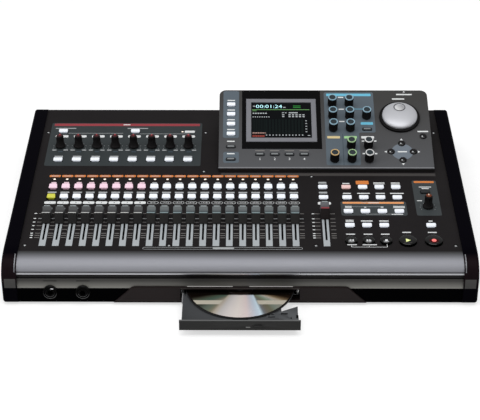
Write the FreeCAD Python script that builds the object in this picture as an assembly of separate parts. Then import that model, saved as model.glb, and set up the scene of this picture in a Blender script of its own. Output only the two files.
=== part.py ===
import FreeCAD, Part
import math
import os

V = FreeCAD.Vector

# Case: X to the right, Y to the back, Z up, origin on the table under the middle of the case
overall_width = 514.0
overall_depth = 341.0
foot_height = 3.0
foot_radius = 9.0
foot_inset_x = 42.0
foot_inset_y = 28.0
foot_stud = 1.5
cheek_width = 16.3
cheek_crown = 2.2
cheek_nose_start = 6.0
cheek_nose_pull = 16.0
cheek_nose_low = 28.0
cheek_nose_high = 47.4
cheek_floor = 1.2
cheek_toe_radius = 5.0
cheek_corner_radius = 10.0
cheek_round = 3.0
case_wall = 2.0
fit_gap = 0.3
seat_gap = 0.05
print_gap = 0.1

# Top panel
panel_slope = 0.9
panel_thickness = 2.5
panel_front_height = 51.0
panel_front_setback = 28.9
panel_rear_setback = 4.5

# Palm rest and front fascia
lip_setback = 5.5
lip_height = 38.6
lip_land = 3.0
palm_thickness = 2.5
palm_pull = 13.4
palm_drop = 0.6
palm_rise = 6.9
fascia_thickness = 3.0
fascia_step = 0.6
fascia_bulge = 3.6
trim_strip_height = 2.6
trim_strip_proud = 1.4
groove_height = 5.3
groove_depth = 0.4
surround_side_top = 124.3
surround_side_bottom = 103.7
surround_corner = 9.0
surround_top = 22.6
surround_bottom = 3.2

# Channel strips
mono_channels = 8
stereo_channels = 12
channel_inset = 24.7
master_inset = 146.1
master_spacing = 33.6
fader_travel = 47.5
fader_scale_top = -68.6
channel_fader_drop = 9.4
fader_cap_space = 4.78
fader_cap_length = 23.5
fader_cap_crown = 13.0
fader_cap_height = 12.0
fader_saddle = 3.2
cap_clearance = 0.8
stem_width = 1.2
stem_length = 6.0
slot_width = 2.2
slot_end_gap = 1.3
plate_reveal = 1.2
plate_back = -57.0
plate_front = -132.2
slider_reveal = 0.6
slider_body_height = 7.0
slider_end = 2.0
slider_floor = 1.5
stem_floor_gap = 2.0
fader_bank = 4

# Keys
key_rise = 2.0
key_travel = 0.8
key_gap = 0.25
key_corner = 1.4
key_edge = 0.5
flange_border = 0.9
flange_thickness = 1.0
channel_key_space = 4.18
channel_key_depth = 8.6
record_row_y = -14.0
select_row_y = -35.8
edit_key_width = 10.8
edit_key_depth = 6.2
edit_pitch = 19.05
edit_inset = 119.3
locate_row_y = -64.4
low_row_y = -92.6
far_key_inset = 29.2
monitor_key_y = -23.6
input_key_width = 11.2
input_key_depth = 6.8
input_row_y = 46.0
input_top_key_y = 112.4
input_top_keys = (0, 4)
transport_row_y = -123.8
transport_key_radius = 6.6
main_transport_radius = 9.6
transport_rise = 2.4
play_spacing = 28.2

# Input and monitor knobs
trim_count = 8
trim_pod_gap = 36.75
trim_inset = 24.3
trim_row_y = 76.5
monitor_knob_inset = 28.9
monitor_knob_y = -54.5
trim_base_radius = 6.2
trim_top_radius = 3.8
trim_height = 16.0
knob_clearance = 0.7
shaft_radius = 3.0
shaft_gap = 0.15
shaft_depth = 9.0
control_body = 10.6
bush_radius = 4.2
bush_gap = 0.1
board_bore_gap = 0.6

# Display pod
pod_inset = 14.2
pod_width = 252.5
pod_front_y = 19.8
pod_length = 127.8
pod_lip = 5.5
pod_slope = 17.4
pod_wall = 2.5
pod_corner_radius = 8.0
pod_edge = 0.8
pod_opening_margin = 3.6
window_start = 0.1089
window_share = 0.375
window_near = 30.2
window_far = 127.0
window_thickness = 2.0
window_ledge = 2.0
bezel_inset = 4.9
bezel_right_inset = 5.5
bezel_near = 41.5
bezel_far = 112.0
bezel_rise = 0.8
screen_border = 6.0
screen_depth = 5.0
screen_top = -0.6
pod_knob_radius = 5.4
pod_knob_top = 5.2
pod_knob_height = 14.0
pod_knob_start = 0.5394
pod_knob_step = 0.0804
pod_knob_pitch_t = 20.1
pod_knob_far_row = 102.2
pod_lower_row = 12.8
pod_lower_pitch = 20.7
jog_share = 0.1426
jog_t = 81.0
jog_radius = 21.0
jog_ring_radius = 24.4
jog_ring_height = 3.0
jog_height = 9.0
jog_rim_height = 4.4
jog_dimple_radius = 6.0
jog_dimple_depth = 1.6
jog_dimple_offset = 9.5
jog_shaft_radius = 3.0
jog_seat = 1.2
jog_neck_radius = 7.0
jog_encoder = 18.0

# Pod keys
pod_key_width = 10.2
pod_key_depth = 5.4
menu_inset = 14.3
menu_first_t = 53.8
menu_pitch = 16.1
menu_count = 4
dark_key_width = 11.2
dark_key_depth = 4.4
dark_key_rows = (33.4, 13.6)
function_start = 0.192
function_step = 0.2064
function_count = 4
function_t = 21.4
eq_key_t = 62.0
jog_play_inset = 9.7
jog_play_t = 50.6
cursor_t = 26.0
cursor_reach = 13.2
cursor_radius = 4.1
dark_rise = 1.4

# Boards under the panels
board_thickness = 1.6
board_depth = 10.6
board_edge = 6.0
switch_side = 5.0
panel_board_margin = 1.2
pod_board_side = 2.0
pod_board_front = 12.0
pod_board_depth = 10.6
post_radius = 3.6

# Optical drive, tray and disc
drive_width = 128.0
drive_height = 12.7
drive_depth = 127.0
drive_floor = 7.0
drive_skin = 0.8
drive_side = 2.2
drive_gap = 0.3
drive_setback = 1.0
drive_back = 2.0
guide_width = 4.0
guide_start = 20.0
guide_rise = 6.0
tray_open = 58.7
tray_closed_face = -167.0
tray_length = 122.0
bezel_thickness = 5.0
bezel_plate = 2.0
tray_thickness = 7.2
disc_radius = 60.0
disc_hole_radius = 7.5
disc_thickness = 1.2
disc_from_face = 67.4
disc_height = 15.0
disc_recess_gap = 1.3
hub_radius = 15.0
spindle_radius = 7.2
spindle_rise = 1.6
tray_cut_x = 44.0
tray_cut_corner = 61.3
tray_cut_near = 20.8
tray_cut_far = 31.8
tray_cut_slant = 2.0
tray_rail_width = 1.2
tray_rail_low = 1.0
tray_rail_height = 4.0
eject_x = 19.0
eject_width = 8.4
eject_height = 2.0
eject_z = 13.0
eject_travel = 0.8
eject_depth = 4.0
eject_proud = 0.6
finger_notch_radius = 9.0
finger_notch_depth = 3.0

# Front phone jacks
phone_inset = 35.4
phone_spacing = 35.4
phone_z = 15.4
phone_ring_radius = 8.0
phone_ring_proud = 2.0
jack_bore_radius = 3.3
jack_body_radius = 5.6
jack_length = 24.0
jack_nut_edge = 1.2
phone_ring_seat = 1.6
phone_ring_round = 0.9

# Rear panel
combo_count = 8
combo_jack_gap = 32.8
combo_inset = 21.7
combo_frame_space = 2.6
combo_frame_height = 30.0
combo_z = 28.0
combo_wall = 2.0
combo_bore_depth = 14.0
combo_frame_edge = 0.6
combo_body_depth = 24.0
flange_plate = 1.6
line_jack_inset = 240.7
line_jack_columns = 3
line_jack_pitch = 18.5
line_jack_rows = (16.5, 39.5)
pin_jack_inset = 183.7
pin_jack_pitch = 15.0
pin_jack_radius = 4.2
pin_jack_base = 5.6
pin_jack_bore = 1.6
socket_body_depth = 12.0
round_port_inset = 143.7
round_port_pitch = 24.0
round_port_radius = 7.2
round_port_body = 9.0
round_port_depth = 8.0
round_port_rim = 1.4
usb_inset = 95.7
usb_width = 8.8
usb_height = 8.0
usb_body = 12.0
usb_depth = 12.0
usb_body_depth = 16.0
pedal_jack_inset = 77.7
power_inlet_inset = 56.7
power_inlet_radius = 3.2
power_inlet_depth = 10.0
power_pin_radius = 1.0
switch_inset = 28.7
switch_width = 13.0
switch_height = 19.0
switch_frame = 2.2
switch_wall = 1.2
switch_flange = 1.5
switch_rim = 1.2
switch_depth = 16.0
switch_well = 13.0
switch_side_depth = 3.0
switch_root_depth = 6.0
switch_root_half = 2.5
switch_end_gap = 1.1
switch_crest = 1.8
switch_waist = 0.6
switch_tilt = 7.0
switch_pin_radius = 1.0
switch_pin_depth = 2.5
rear_proud = 3.0

# Inside the case
main_board_width = 250.0
main_board_length = 150.0
main_board_inset = 15.7
main_board_y = 60.0
standoff_inset = 8.0
board_post_gap = 0.8
standoff_height = 6.0
chip_height = 2.0
main_chips = ((0.26, 0.57, 28), (0.46, 0.57, 24), (0.66, 0.37, 18), (0.82, 0.63, 18), (0.26, 0.23, 14))
hard_drive_width = 70.0
hard_drive_length = 100.0
hard_drive_height = 9.5
hard_drive_inset = 100.7
hard_drive_y = 10.0

# Fasteners
screw_head_radius = 2.6
screw_head_height = 1.6
screw_radius = 1.5
screw_length = 9.0
screw_seat_gap = 0.15
screw_cross_half = 1.4
screw_cross_width = 0.6
screw_cross_depth = 0.8
screw_inset_x = 22.4
screw_front_y = -131.1
screw_after_channel = 10
screw_right_inset = 158.1
screw_field_inset = 17.0
screw_rear_y = 110.0
screw_mid_y = 20.8
screw_pod_y = 9.9

# Sizes that follow from the ones above
inner_half = overall_width / 2 - cheek_width
channels = mono_channels + stereo_channels
first_channel_x = -inner_half + channel_inset
master_x = inner_half - master_inset
channel_pitch = (master_x - master_spacing - first_channel_x) / (channels - 1)
channel_key_width = channel_pitch - channel_key_space
fader_cap_width = channel_pitch - fader_cap_space
plate_width = fader_cap_width - 2 * plate_reveal
slider_body_width = fader_cap_width - 2 * slider_reveal
edit_first_x = inner_half - edit_inset
far_key_x = inner_half - far_key_inset
play_x = far_key_x - play_spacing
first_trim_x = -inner_half + trim_inset
monitor_knob_x = inner_half - monitor_knob_inset
pod_right = inner_half - pod_inset
pod_left = pod_right - pod_width
trim_pitch = (pod_left - trim_pod_gap - first_trim_x) / (trim_count - 1)
window_left = pod_left + window_start * pod_width
window_width = window_share * pod_width
bezel_left = window_left + bezel_inset
bezel_width = window_width - bezel_inset - bezel_right_inset
pod_knob_left = pod_left + pod_knob_start * pod_width
pod_knob_pitch_x = pod_knob_step * pod_width
jog_x = pod_right - jog_share * pod_width
cursor_x = jog_x
menu_x = pod_left + menu_inset
function_first_x = bezel_left + function_start * bezel_width
function_pitch = function_step * bezel_width
eq_key_x = pod_knob_left + 2 * pod_knob_pitch_x
jog_play_x = pod_right - jog_play_inset
phone_x = [-inner_half + phone_inset + i * phone_spacing for i in range(2)]
combo_first_x = -inner_half + combo_inset
line_jack_x = [inner_half - line_jack_inset + i * line_jack_pitch for i in range(line_jack_columns)]
combo_pitch = (line_jack_x[0] - combo_jack_gap - combo_first_x) / (combo_count - 1)
combo_frame_width = combo_pitch - combo_frame_space
combo_body_radius = combo_frame_width / 2 - combo_frame_edge
combo_bore_radius = combo_body_radius - combo_wall
pin_jack_x = [inner_half - pin_jack_inset + i * pin_jack_pitch for i in range(2)]
round_port_x = [inner_half - round_port_inset + i * round_port_pitch for i in range(2)]
usb_x = inner_half - usb_inset
pedal_jack_x = inner_half - pedal_jack_inset
power_inlet_x = inner_half - power_inlet_inset
switch_x = inner_half - switch_inset
main_board_x = inner_half - main_board_inset - main_board_width / 2
hard_drive_x = -inner_half + hard_drive_inset
surround_half_top = inner_half - surround_side_top
surround_half_bottom = inner_half - surround_side_bottom
front_y = -overall_depth / 2
rear_y = overall_depth / 2
panel_front_y = front_y + panel_front_setback
panel_rear_y = rear_y - panel_rear_setback
lip_y = front_y + lip_setback
floor_z = foot_height
strip_low = lip_height - trim_strip_height
fascia_top = strip_low - groove_height
screw_middle_x = (first_channel_x + (screw_after_channel - 0.5) * channel_pitch,
                  inner_half - screw_right_inset)
screw_field_x = pod_left - screw_field_inset
panel_under = -panel_thickness
cap_bottom = cap_clearance
pod_front_z = panel_front_height + (pod_front_y - panel_front_y) * math.tan(
    math.radians(panel_slope)) + pod_lip
pod_rear_y = pod_front_y + pod_length * math.cos(math.radians(pod_slope))
pod_rear_z = pod_front_z + pod_length * math.sin(math.radians(pod_slope))
tray_face = tray_closed_face - tray_open
disc_y = tray_face + disc_from_face
slider_length = fader_travel + stem_length + 2 * slot_end_gap + 2 * slider_end
eq_rows = [pod_knob_far_row - row * pod_knob_pitch_t for row in range(3)]


def panel_z(y):
    """Height of the top panel's upper face at depth y."""
    return panel_front_height + (y - panel_front_y) * math.tan(math.radians(panel_slope))


def box(x0, x1, y0, y1, z0, z1):
    return Part.makeBox(x1 - x0, y1 - y0, z1 - z0, V(x0, y0, z0))


def cylinder(radius, height, base, direction=V(0, 0, 1)):
    return Part.makeCylinder(radius, height, base, direction)


def rounded_box(x, y, width, depth, z0, z1, corner):
    """Upright block centred on x, y with rounded upright edges."""
    block = box(x - width / 2, x + width / 2, y - depth / 2, y + depth / 2, z0, z1)
    edges = [e for e in block.Edges if abs(e.tangentAt(e.FirstParameter).z) > 0.9]
    return block.makeFillet(corner, edges)


def edges_at(shape, height):
    """Edges of a flat-drawn shape that lie wholly at one height."""
    found = []
    for edge in shape.Edges:
        span = edge.BoundBox
        if abs(span.ZMin - height) < 1e-4 and abs(span.ZMax - height) < 1e-4:
            found.append(edge)
    return found


def prism(points, x0, x1):
    """Outline of (y, z) points drawn out along X."""
    wire = Part.makePolygon([V(x0, y, z) for y, z in points + points[:1]])
    return Part.Face(wire).extrude(V(x1 - x0, 0, 0))


def line(start, end):
    return Part.makeLine(V(0, *start), V(0, *end))


def bow(*poles):
    """A smooth curve through the first and last (y, z) point, pulled by those between."""
    curve = Part.BezierCurve()
    curve.setPoles([V(0, *pole) for pole in poles])
    return curve.toShape()


def drawn_out(edges, x0, x1):
    """A closed outline of (y, z) lines and curves drawn out along X."""
    solid = Part.Face(Part.Wire(edges)).extrude(V(x1 - x0, 0, 0))
    solid.translate(V(x0, 0, 0))
    return solid


def turned(profile):
    """Solid of revolution about the Z axis from (radius, height) points."""
    wire = Part.makePolygon([V(r, 0, h) for r, h in profile + profile[:1]])
    return Part.Face(wire).revolve(V(0, 0, 0), V(0, 0, 1), 360)


def on_panel(shape):
    """Places a shape drawn flat, in X, Y and height above the top panel."""
    shape = shape.copy()
    shape.translate(V(0, 0, panel_front_height))
    shape.rotate(V(0, panel_front_y, panel_front_height), V(1, 0, 0), panel_slope)
    return shape


def on_pod(shape):
    """Places a shape drawn flat, in X, distance up the pod and height above it."""
    shape = shape.copy()
    shape.rotate(V(0, 0, 0), V(1, 0, 0), pod_slope)
    shape.translate(V(0, pod_front_y, pod_front_z))
    return shape


def joined(shapes):
    whole = shapes[0]
    if len(shapes) > 1:
        whole = whole.multiFuse(shapes[1:])
    return whole.removeSplitter()


def cut_all(shape, tools):
    return shape.cut(Part.makeCompound(tools)) if tools else shape


def save(name, solids):
    """Writes one sub-part, a list of separate solids, to its file."""
    if not isinstance(solids, list):
        solids = [solids]
    pieces = []
    for shape in solids:
        pieces.extend(shape.Solids)
    assert pieces, name
    shape = pieces[0] if len(pieces) == 1 else Part.makeCompound(pieces)
    shape.exportStep(os.path.join("parts", name + ".step"))
    print(name, len(pieces), "solids")


def channel_x(index):
    return first_channel_x + index * channel_pitch


def trim_x(index):
    return first_trim_x + index * trim_pitch


# Keys: one list of (x, y, width, depth) for each group on the top panel


def record_keys():
    return [(channel_x(i), record_row_y, channel_key_width, channel_key_depth)
            for i in range(channels)]


def select_keys():
    return [(channel_x(i), select_row_y, channel_key_width, channel_key_depth)
            for i in range(channels)]


def edit_x(column):
    return edit_first_x + column * edit_pitch


def edit_keys():
    size = (edit_key_width, edit_key_depth)
    keys = [(master_x, y) + size for y in (record_row_y, select_row_y)]
    for column in range(4):
        keys += [(edit_x(column), y) + size for y in (record_row_y, select_row_y)]
    keys += [(edit_x(column), low_row_y) + size for column in range(3)]
    keys += [(far_key_x, low_row_y) + size, (far_key_x, monitor_key_y) + size]
    return keys


def locate_keys():
    return [(edit_x(column), locate_row_y, edit_key_width, edit_key_depth)
            for column in range(4)]


def input_keys():
    size = (input_key_width, input_key_depth)
    keys = [(trim_x(i), input_row_y) + size for i in range(trim_count)]
    return keys + [(trim_x(i), input_top_key_y) + size for i in input_top_keys]


def transport_keys():
    """(x, radius) of the five round keys in the front row."""
    small = [(edit_x(column), transport_key_radius) for column in range(3)]
    return small + [(play_x, main_transport_radius), (far_key_x, main_transport_radius)]


# Keys on the pod: (x, t, width, depth)


def menu_keys():
    light = [(menu_x, menu_first_t + i * menu_pitch, pod_key_width, pod_key_depth)
             for i in range(menu_count)]
    return light + [(menu_x, t, dark_key_width, dark_key_depth) for t in dark_key_rows]


def function_keys():
    row = [(function_first_x + i * function_pitch, function_t) for i in range(function_count)]
    row.append((eq_key_x, eq_key_t))
    return [(x, t, dark_key_width, dark_key_depth) for x, t in row]


def round_pod_keys():
    """(x, t) of the four round keys about the marked diamond, and of the one below the jog wheel."""
    places = [(jog_play_x, jog_play_t)]
    for quarter in range(4):
        angle = math.radians(90 * quarter)
        places.append((cursor_x + cursor_reach * math.cos(angle),
                       cursor_t + cursor_reach * math.sin(angle)))
    return places


def flat_key(x, y, width, depth, rise, skin):
    """A key cap that stands in a panel of thickness skin, with its flange below."""
    cap = rounded_box(x, y, width, depth, -skin - key_gap, rise, key_corner)
    cap = cap.makeFillet(key_edge, edges_at(cap, rise))
    low = -skin - key_gap
    flange = rounded_box(x, y, width + 2 * flange_border, depth + 2 * flange_border,
                         low - flange_thickness, low, key_corner)
    return joined([cap, flange])


def round_key(x, y, radius, rise, skin):
    """A round key cap with a shallow dished top."""
    low = -skin - key_gap
    cap = cylinder(radius, rise - low, V(x, y, low))
    cap = cap.makeFillet(key_edge, edges_at(cap, rise))
    dish = Part.makeSphere(radius * 4, V(x, y, rise + radius * 4 - key_edge / 2))
    flange = cylinder(radius + flange_border, flange_thickness, V(x, y, low - flange_thickness))
    return joined([cap.cut(dish), flange])


def key_hole(x, y, width, depth, skin):
    return rounded_box(x, y, width + 2 * key_gap, depth + 2 * key_gap, -skin - 1, 1,
                       key_corner + key_gap)


def round_hole(x, y, radius, skin, gap=key_gap):
    return cylinder(radius + gap, skin + 2, V(x, y, -skin - 1))


def switches(places, skin, board_top):
    """Small switch bodies on a board, each just clear of its key at full travel."""
    top = -skin - key_gap - flange_thickness - key_travel - key_gap
    half = switch_side / 2
    return [box(x - half, x + half, y - half, y + half, board_top, top) for x, y in places]


# Knobs and the controls below them


def trim_knob():
    """Tall flared knob about the Z axis, with its shaft."""
    flare = [(trim_base_radius, knob_clearance), (trim_base_radius, knob_clearance + 1.6)]
    steps = 6
    for step in range(1, steps + 1):
        share = step / steps
        drop = (1 - share) ** 2
        flare.append((trim_top_radius + 0.5 + (trim_base_radius - trim_top_radius - 0.5) * drop,
                      knob_clearance + 1.6 + (trim_height - 3.6) * share))
    top = [(trim_top_radius, trim_height - 0.6), (trim_top_radius - 0.7, trim_height)]
    shaft = [(0, trim_height), (0, -shaft_depth), (shaft_radius, -shaft_depth),
             (shaft_radius, knob_clearance)]
    return turned(flare + top + shaft)


def pod_knob():
    """Straight encoder knob with a ring top, about the Z axis, with its shaft."""
    body = [(pod_knob_radius, knob_clearance), (pod_knob_radius, pod_knob_height - 1.5),
            (pod_knob_top, pod_knob_height - 0.5), (pod_knob_top - 0.5, pod_knob_height),
            (pod_knob_top - 2.2, pod_knob_height), (pod_knob_top - 2.6, pod_knob_height - 0.6)]
    shaft = [(0, pod_knob_height - 0.6), (0, -shaft_depth), (shaft_radius, -shaft_depth),
             (shaft_radius, knob_clearance)]
    return turned(body + shaft)


def trim_places():
    return [(trim_x(i), trim_row_y) for i in range(trim_count)]


def pod_knob_places():
    """(x, t) of the twelve encoder knobs on the pod."""
    column = [pod_knob_left + i * pod_knob_pitch_x for i in range(3)]
    upper = [(column[0], eq_rows[0]), (column[1], eq_rows[0])]
    upper += [(x, eq_rows[1]) for x in column]
    upper += [(column[0], eq_rows[2]), (column[1], eq_rows[2])]
    near, far = pod_lower_row, pod_lower_row + pod_lower_pitch
    lower = [(column[1], far), (column[2], far)] + [(x, near) for x in column]
    return upper + lower


def control_under(x, y, skin, board_top):
    """Body and bush of a turning control below a panel, bored for the knob's shaft."""
    half = control_body / 2
    body = box(x - half, x + half, y - half, y + half, board_top, -skin - fit_gap)
    bush = cylinder(bush_radius, skin + fit_gap, V(x, y, -skin - fit_gap))
    bore = cylinder(shaft_radius + shaft_gap, board_depth + 2, V(x, y, -board_depth - 1))
    return joined([body, bush]).cut(bore)


# Case pieces


def cheek(side):
    """End cheek: glossy side block with a bowed nose and a rounded outer edge."""
    nose_y = panel_front_y + cheek_nose_start
    nose_z = panel_z(nose_y) + cheek_crown
    rear_z = panel_z(rear_y) + cheek_crown
    pull = nose_y - cheek_nose_pull
    edges = [bow((front_y, cheek_nose_low), (front_y, cheek_nose_high),
                 (pull, panel_z(pull) + cheek_crown), (nose_y, nose_z)),
             line((nose_y, nose_z), (rear_y, rear_z)),
             line((rear_y, rear_z), (rear_y, cheek_floor)),
             line((rear_y, cheek_floor), (front_y, cheek_floor)),
             line((front_y, cheek_floor), (front_y, cheek_nose_low))]
    x0 = inner_half if side > 0 else -overall_width / 2
    block = drawn_out(edges, x0, x0 + cheek_width)
    corners = ((rear_y, rear_z, cheek_corner_radius), (front_y, cheek_floor, cheek_toe_radius))
    for y, z, radius in corners:
        corner = [e for e in block.Edges
                  if abs(e.CenterOfMass.y - y) < 1e-3 and abs(e.CenterOfMass.z - z) < 1e-3]
        block = block.makeFillet(radius, corner)
    outer = x0 if side < 0 else x0 + cheek_width
    rim = []
    for edge in block.Edges:
        span = edge.BoundBox
        if abs(span.XMin - outer) < 0.01 and abs(span.XMax - outer) < 0.01:
            rim.append(edge)
    return block.makeFillet(cheek_round, rim)


def screw_places():
    edge_x = inner_half + cheek_width - screw_inset_x
    front = [(-edge_x, screw_front_y), (edge_x, screw_front_y)]
    front += [(x, screw_front_y) for x in screw_middle_x]
    rear = [(-edge_x, screw_rear_y), (edge_x, screw_rear_y), (screw_field_x, screw_rear_y)]
    return front + rear + [(screw_field_x, screw_mid_y), (screw_middle_x[1], screw_pod_y)]


def panel_post(x, y):
    """Screw post from the case floor to the underside of the top panel."""
    tall = on_panel(cylinder(post_radius, 2 * panel_front_height,
                             V(x, y, panel_under - 2 * panel_front_height)))
    hole = on_panel(cylinder(screw_radius + screw_seat_gap, screw_length + 4,
                             V(x, y, panel_under - screw_length - 1)))
    ground = box(-overall_width, overall_width, front_y, rear_y, -2 * panel_front_height, floor_z)
    return tall.cut(ground).cut(hole)


def feet_places():
    x = overall_width / 2 - foot_inset_x
    return [(sx * x, sy * (rear_y - foot_inset_y)) for sx in (-1, 1) for sy in (-1, 1)]


def bottom_case():
    """Pan with a floor, two side walls, a low front rail and the screw posts."""
    y0 = lip_y + fascia_thickness + fit_gap
    y1 = panel_rear_y - case_wall
    floor = box(-inner_half, inner_half, y0, y1, floor_z, floor_z + case_wall)
    shapes = [floor]
    side = [(y0, floor_z), (y1, floor_z), (y1, panel_z(y1) - panel_thickness - seat_gap),
            (panel_front_y, panel_front_height - panel_thickness - seat_gap),
            (y0, strip_low)]
    for x in (-inner_half, inner_half - case_wall):
        shapes.append(prism(side, x, x + case_wall))
    shapes += [panel_post(x, y) for x, y in screw_places()]
    for x, y in standoff_places() + drive_standoffs():
        shapes.append(cylinder(post_radius, standoff_height + case_wall, V(x, y, floor_z)))
    for x in (-1, 1):
        low = x * (drive_width / 2 + guide_width / 2) - guide_width / 2
        shapes.append(box(low, low + guide_width, tray_closed_face + guide_start,
                          tray_closed_face + drive_depth, floor_z, drive_floor + guide_rise))
    pan = joined(shapes)
    holes = [cylinder(screw_radius + screw_seat_gap, foot_height + case_wall + 2,
                      V(x, y, floor_z - 1)) for x, y in feet_places()]
    return cut_all(pan, holes)


def standoff_places():
    dx = main_board_width / 2 - standoff_inset
    dy = main_board_length / 2 - standoff_inset
    return [(main_board_x + sx * dx, main_board_y + sy * dy) for sx in (-1, 1) for sy in (-1, 1)]


def drive_standoffs():
    dx = hard_drive_width / 2 - standoff_inset
    dy = hard_drive_length / 2 - standoff_inset
    return [(hard_drive_x + sx * dx, hard_drive_y + sy * dy) for sx in (-1, 1) for sy in (-1, 1)]


def fader_columns():
    """X of every fader, the master last."""
    return [channel_x(i) for i in range(channels)] + [master_x]


def all_flat_keys():
    return record_keys() + select_keys() + edit_keys() + locate_keys() + input_keys()


def top_panel():
    """Flat plate with the holes for keys, knobs, faders, screws and the pod's wiring."""
    plate = box(-inner_half, inner_half, panel_front_y, panel_rear_y, panel_under, 0)
    holes = [key_hole(x, y, w, d, panel_thickness) for x, y, w, d in all_flat_keys()]
    holes += [round_hole(x, transport_row_y, r, panel_thickness) for x, r in transport_keys()]
    for x in fader_columns():
        half = plate_width / 2
        holes.append(box(x - half, x + half, plate_front, plate_back, panel_under - 1, 1))
    holes += [round_hole(x, y, bush_radius, panel_thickness, bush_gap)
              for x, y in trim_places() + [(monitor_knob_x, monitor_knob_y)]]
    for x, y in screw_places():
        holes.append(cylinder(screw_radius + screw_seat_gap, 8, V(x, y, -6)))
        holes.append(cylinder(screw_head_radius + screw_seat_gap, screw_head_height + 1,
                              V(x, y, -screw_head_height)))
    margin = pod_opening_margin
    holes.append(box(pod_left + margin, pod_left + pod_width - margin,
                     pod_front_y + margin, pod_rear_y - margin, panel_under - 1, 1))
    plate = cut_all(plate, holes)
    return on_panel(plate)


def palm_rest():
    """Bowed shell between the top panel and the bright strip."""
    y0, z0 = lip_y, lip_height
    y1, z1 = panel_front_y, panel_front_height
    back = y0 + lip_land
    under = z1 - palm_thickness
    edges = [bow((y0, z0), (y0, z0 + palm_rise), (y1 - palm_pull, z1 - palm_drop), (y1, z1)),
             line((y1, z1), (y1, under)),
             bow((y1, under), (y1 - palm_pull + lip_land / 2, under - palm_drop),
                 (back, z0 + palm_rise - lip_land / 2), (back, z0)),
             line((back, z0), (y0, z0))]
    return drawn_out(edges, -inner_half, inner_half)


def fascia_face_y(z):
    """Depth of the fascia's bowed front face at a height below the groove."""
    share = (fascia_top - z) / (fascia_top - floor_z)
    return lip_y - fascia_step - fascia_bulge * math.sin(share * math.pi / 2)


def fascia_shell():
    """Front face with the groove at its top, without its openings."""
    steps = 6
    heights = [fascia_top - (fascia_top - floor_z) * i / steps for i in range(steps + 1)]
    face = [(lip_y, strip_low), (lip_y + groove_depth, fascia_top + fascia_step)]
    face += [(fascia_face_y(z), z) for z in heights]
    behind = lip_y + fascia_thickness
    return prism(face + [(behind, floor_z), (behind, strip_low)], -inner_half, inner_half)


def front_fascia():
    """Curved front face, the bright strip at its top and the plate round the drive."""
    plate_back = lip_y + fascia_thickness
    strip = box(-inner_half, inner_half, lip_y - trim_strip_proud, plate_back, strip_low, lip_height)
    low, high = surround_half_bottom, surround_half_top
    corners = [(-low, surround_bottom), (-high, surround_top), (high, surround_top), (low, surround_bottom)]
    outline = [V(x, front_y, z) for x, z in corners]
    wire = Part.makePolygon(outline + outline[:1])
    plate = Part.Face(wire).extrude(V(0, plate_back - front_y, 0))
    upper = [e for e in plate.Edges if abs(e.tangentAt(e.FirstParameter).y) > 0.9
             and e.CenterOfMass.z > surround_top - 1]
    plate = plate.makeFillet(surround_corner, upper)
    face = fascia_shell().cut(plate)
    half = drive_width / 2 + 2 * fit_gap
    mouth = box(-half, half, front_y - 5, plate_back + 5, drive_floor - 2 * fit_gap,
                drive_floor + drive_height + 2 * fit_gap)
    holes = [cylinder(jack_body_radius + fit_gap, 20, V(x, front_y - 5, phone_z), V(0, 1, 0))
             for x in phone_x]
    return [cut_all(face, holes), strip, plate.cut(mouth)]


def rear_panel():
    """Back plate with the cut-outs for the sockets and the power switch."""
    y0 = panel_rear_y - case_wall
    top = panel_z(y0) - panel_thickness - seat_gap
    plate = box(-inner_half, inner_half, y0, panel_rear_y, floor_z, top)
    axis = V(0, 1, 0)
    holes = []
    for i in range(combo_count):
        holes.append(cylinder(combo_body_radius + fit_gap, 8, V(combo_x(i), y0 - 3, combo_z), axis))
    for x, z in line_jacks():
        holes.append(cylinder(jack_body_radius + fit_gap, 8, V(x, y0 - 3, z), axis))
    for x, z in pin_jacks():
        holes.append(cylinder(pin_jack_base + fit_gap, 8, V(x, y0 - 3, z), axis))
    for x in round_port_x:
        holes.append(cylinder(round_port_body + fit_gap, 8, V(x, y0 - 3, combo_z), axis))
    half = usb_body / 2 + fit_gap
    holes.append(box(usb_x - half, usb_x + half, y0 - 3, y0 + 5, combo_z - half, combo_z + half))
    holes.append(cylinder(jack_body_radius + fit_gap, 8, V(power_inlet_x, y0 - 3, combo_z), axis))
    half_w = switch_width / 2 + fit_gap
    half_h = switch_height / 2 + fit_gap
    holes.append(box(switch_x - half_w, switch_x + half_w, y0 - 3, y0 + 5,
                     combo_z - half_h, combo_z + half_h))
    return cut_all(plate, holes)


def combo_x(index):
    return combo_first_x + index * combo_pitch


def line_jacks():
    """(x, z) of the round line jacks, the pedal jack last."""
    places = [(x, z) for x in line_jack_x for z in line_jack_rows]
    return places + [(pedal_jack_x, combo_z)]


def pin_jacks():
    return [(x, z) for x in pin_jack_x for z in line_jack_rows]


def combo_socket(x):
    """Square-framed input socket whose round mouth faces the back."""
    y = panel_rear_y
    frame = box(x - combo_frame_width / 2, x + combo_frame_width / 2, y, y + flange_plate,
                combo_z - combo_frame_height / 2, combo_z + combo_frame_height / 2)
    upright = [e for e in frame.Edges if abs(e.tangentAt(e.FirstParameter).y) > 0.9]
    frame = frame.makeFillet(2.0, upright)
    body = cylinder(combo_body_radius, combo_body_depth, V(x, y, combo_z), V(0, -1, 0))
    mouth = cylinder(combo_bore_radius, combo_bore_depth, V(x, y + flange_plate + 0.1, combo_z),
                     V(0, -1, 0))
    core = cylinder(jack_bore_radius, combo_body_depth - 4, V(x, y + flange_plate, combo_z),
                    V(0, -1, 0))
    return joined([frame, body]).cut(mouth).cut(core)


def line_jack(x, z):
    y = panel_rear_y
    body = cylinder(jack_body_radius, jack_length, V(x, y, z), V(0, -1, 0))
    nut = cylinder(jack_body_radius + jack_nut_edge, rear_proud, V(x, y, z), V(0, 1, 0))
    bore = cylinder(jack_bore_radius, jack_length, V(x, y + rear_proud + 0.1, z), V(0, -1, 0))
    return joined([body, nut]).cut(bore)


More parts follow.
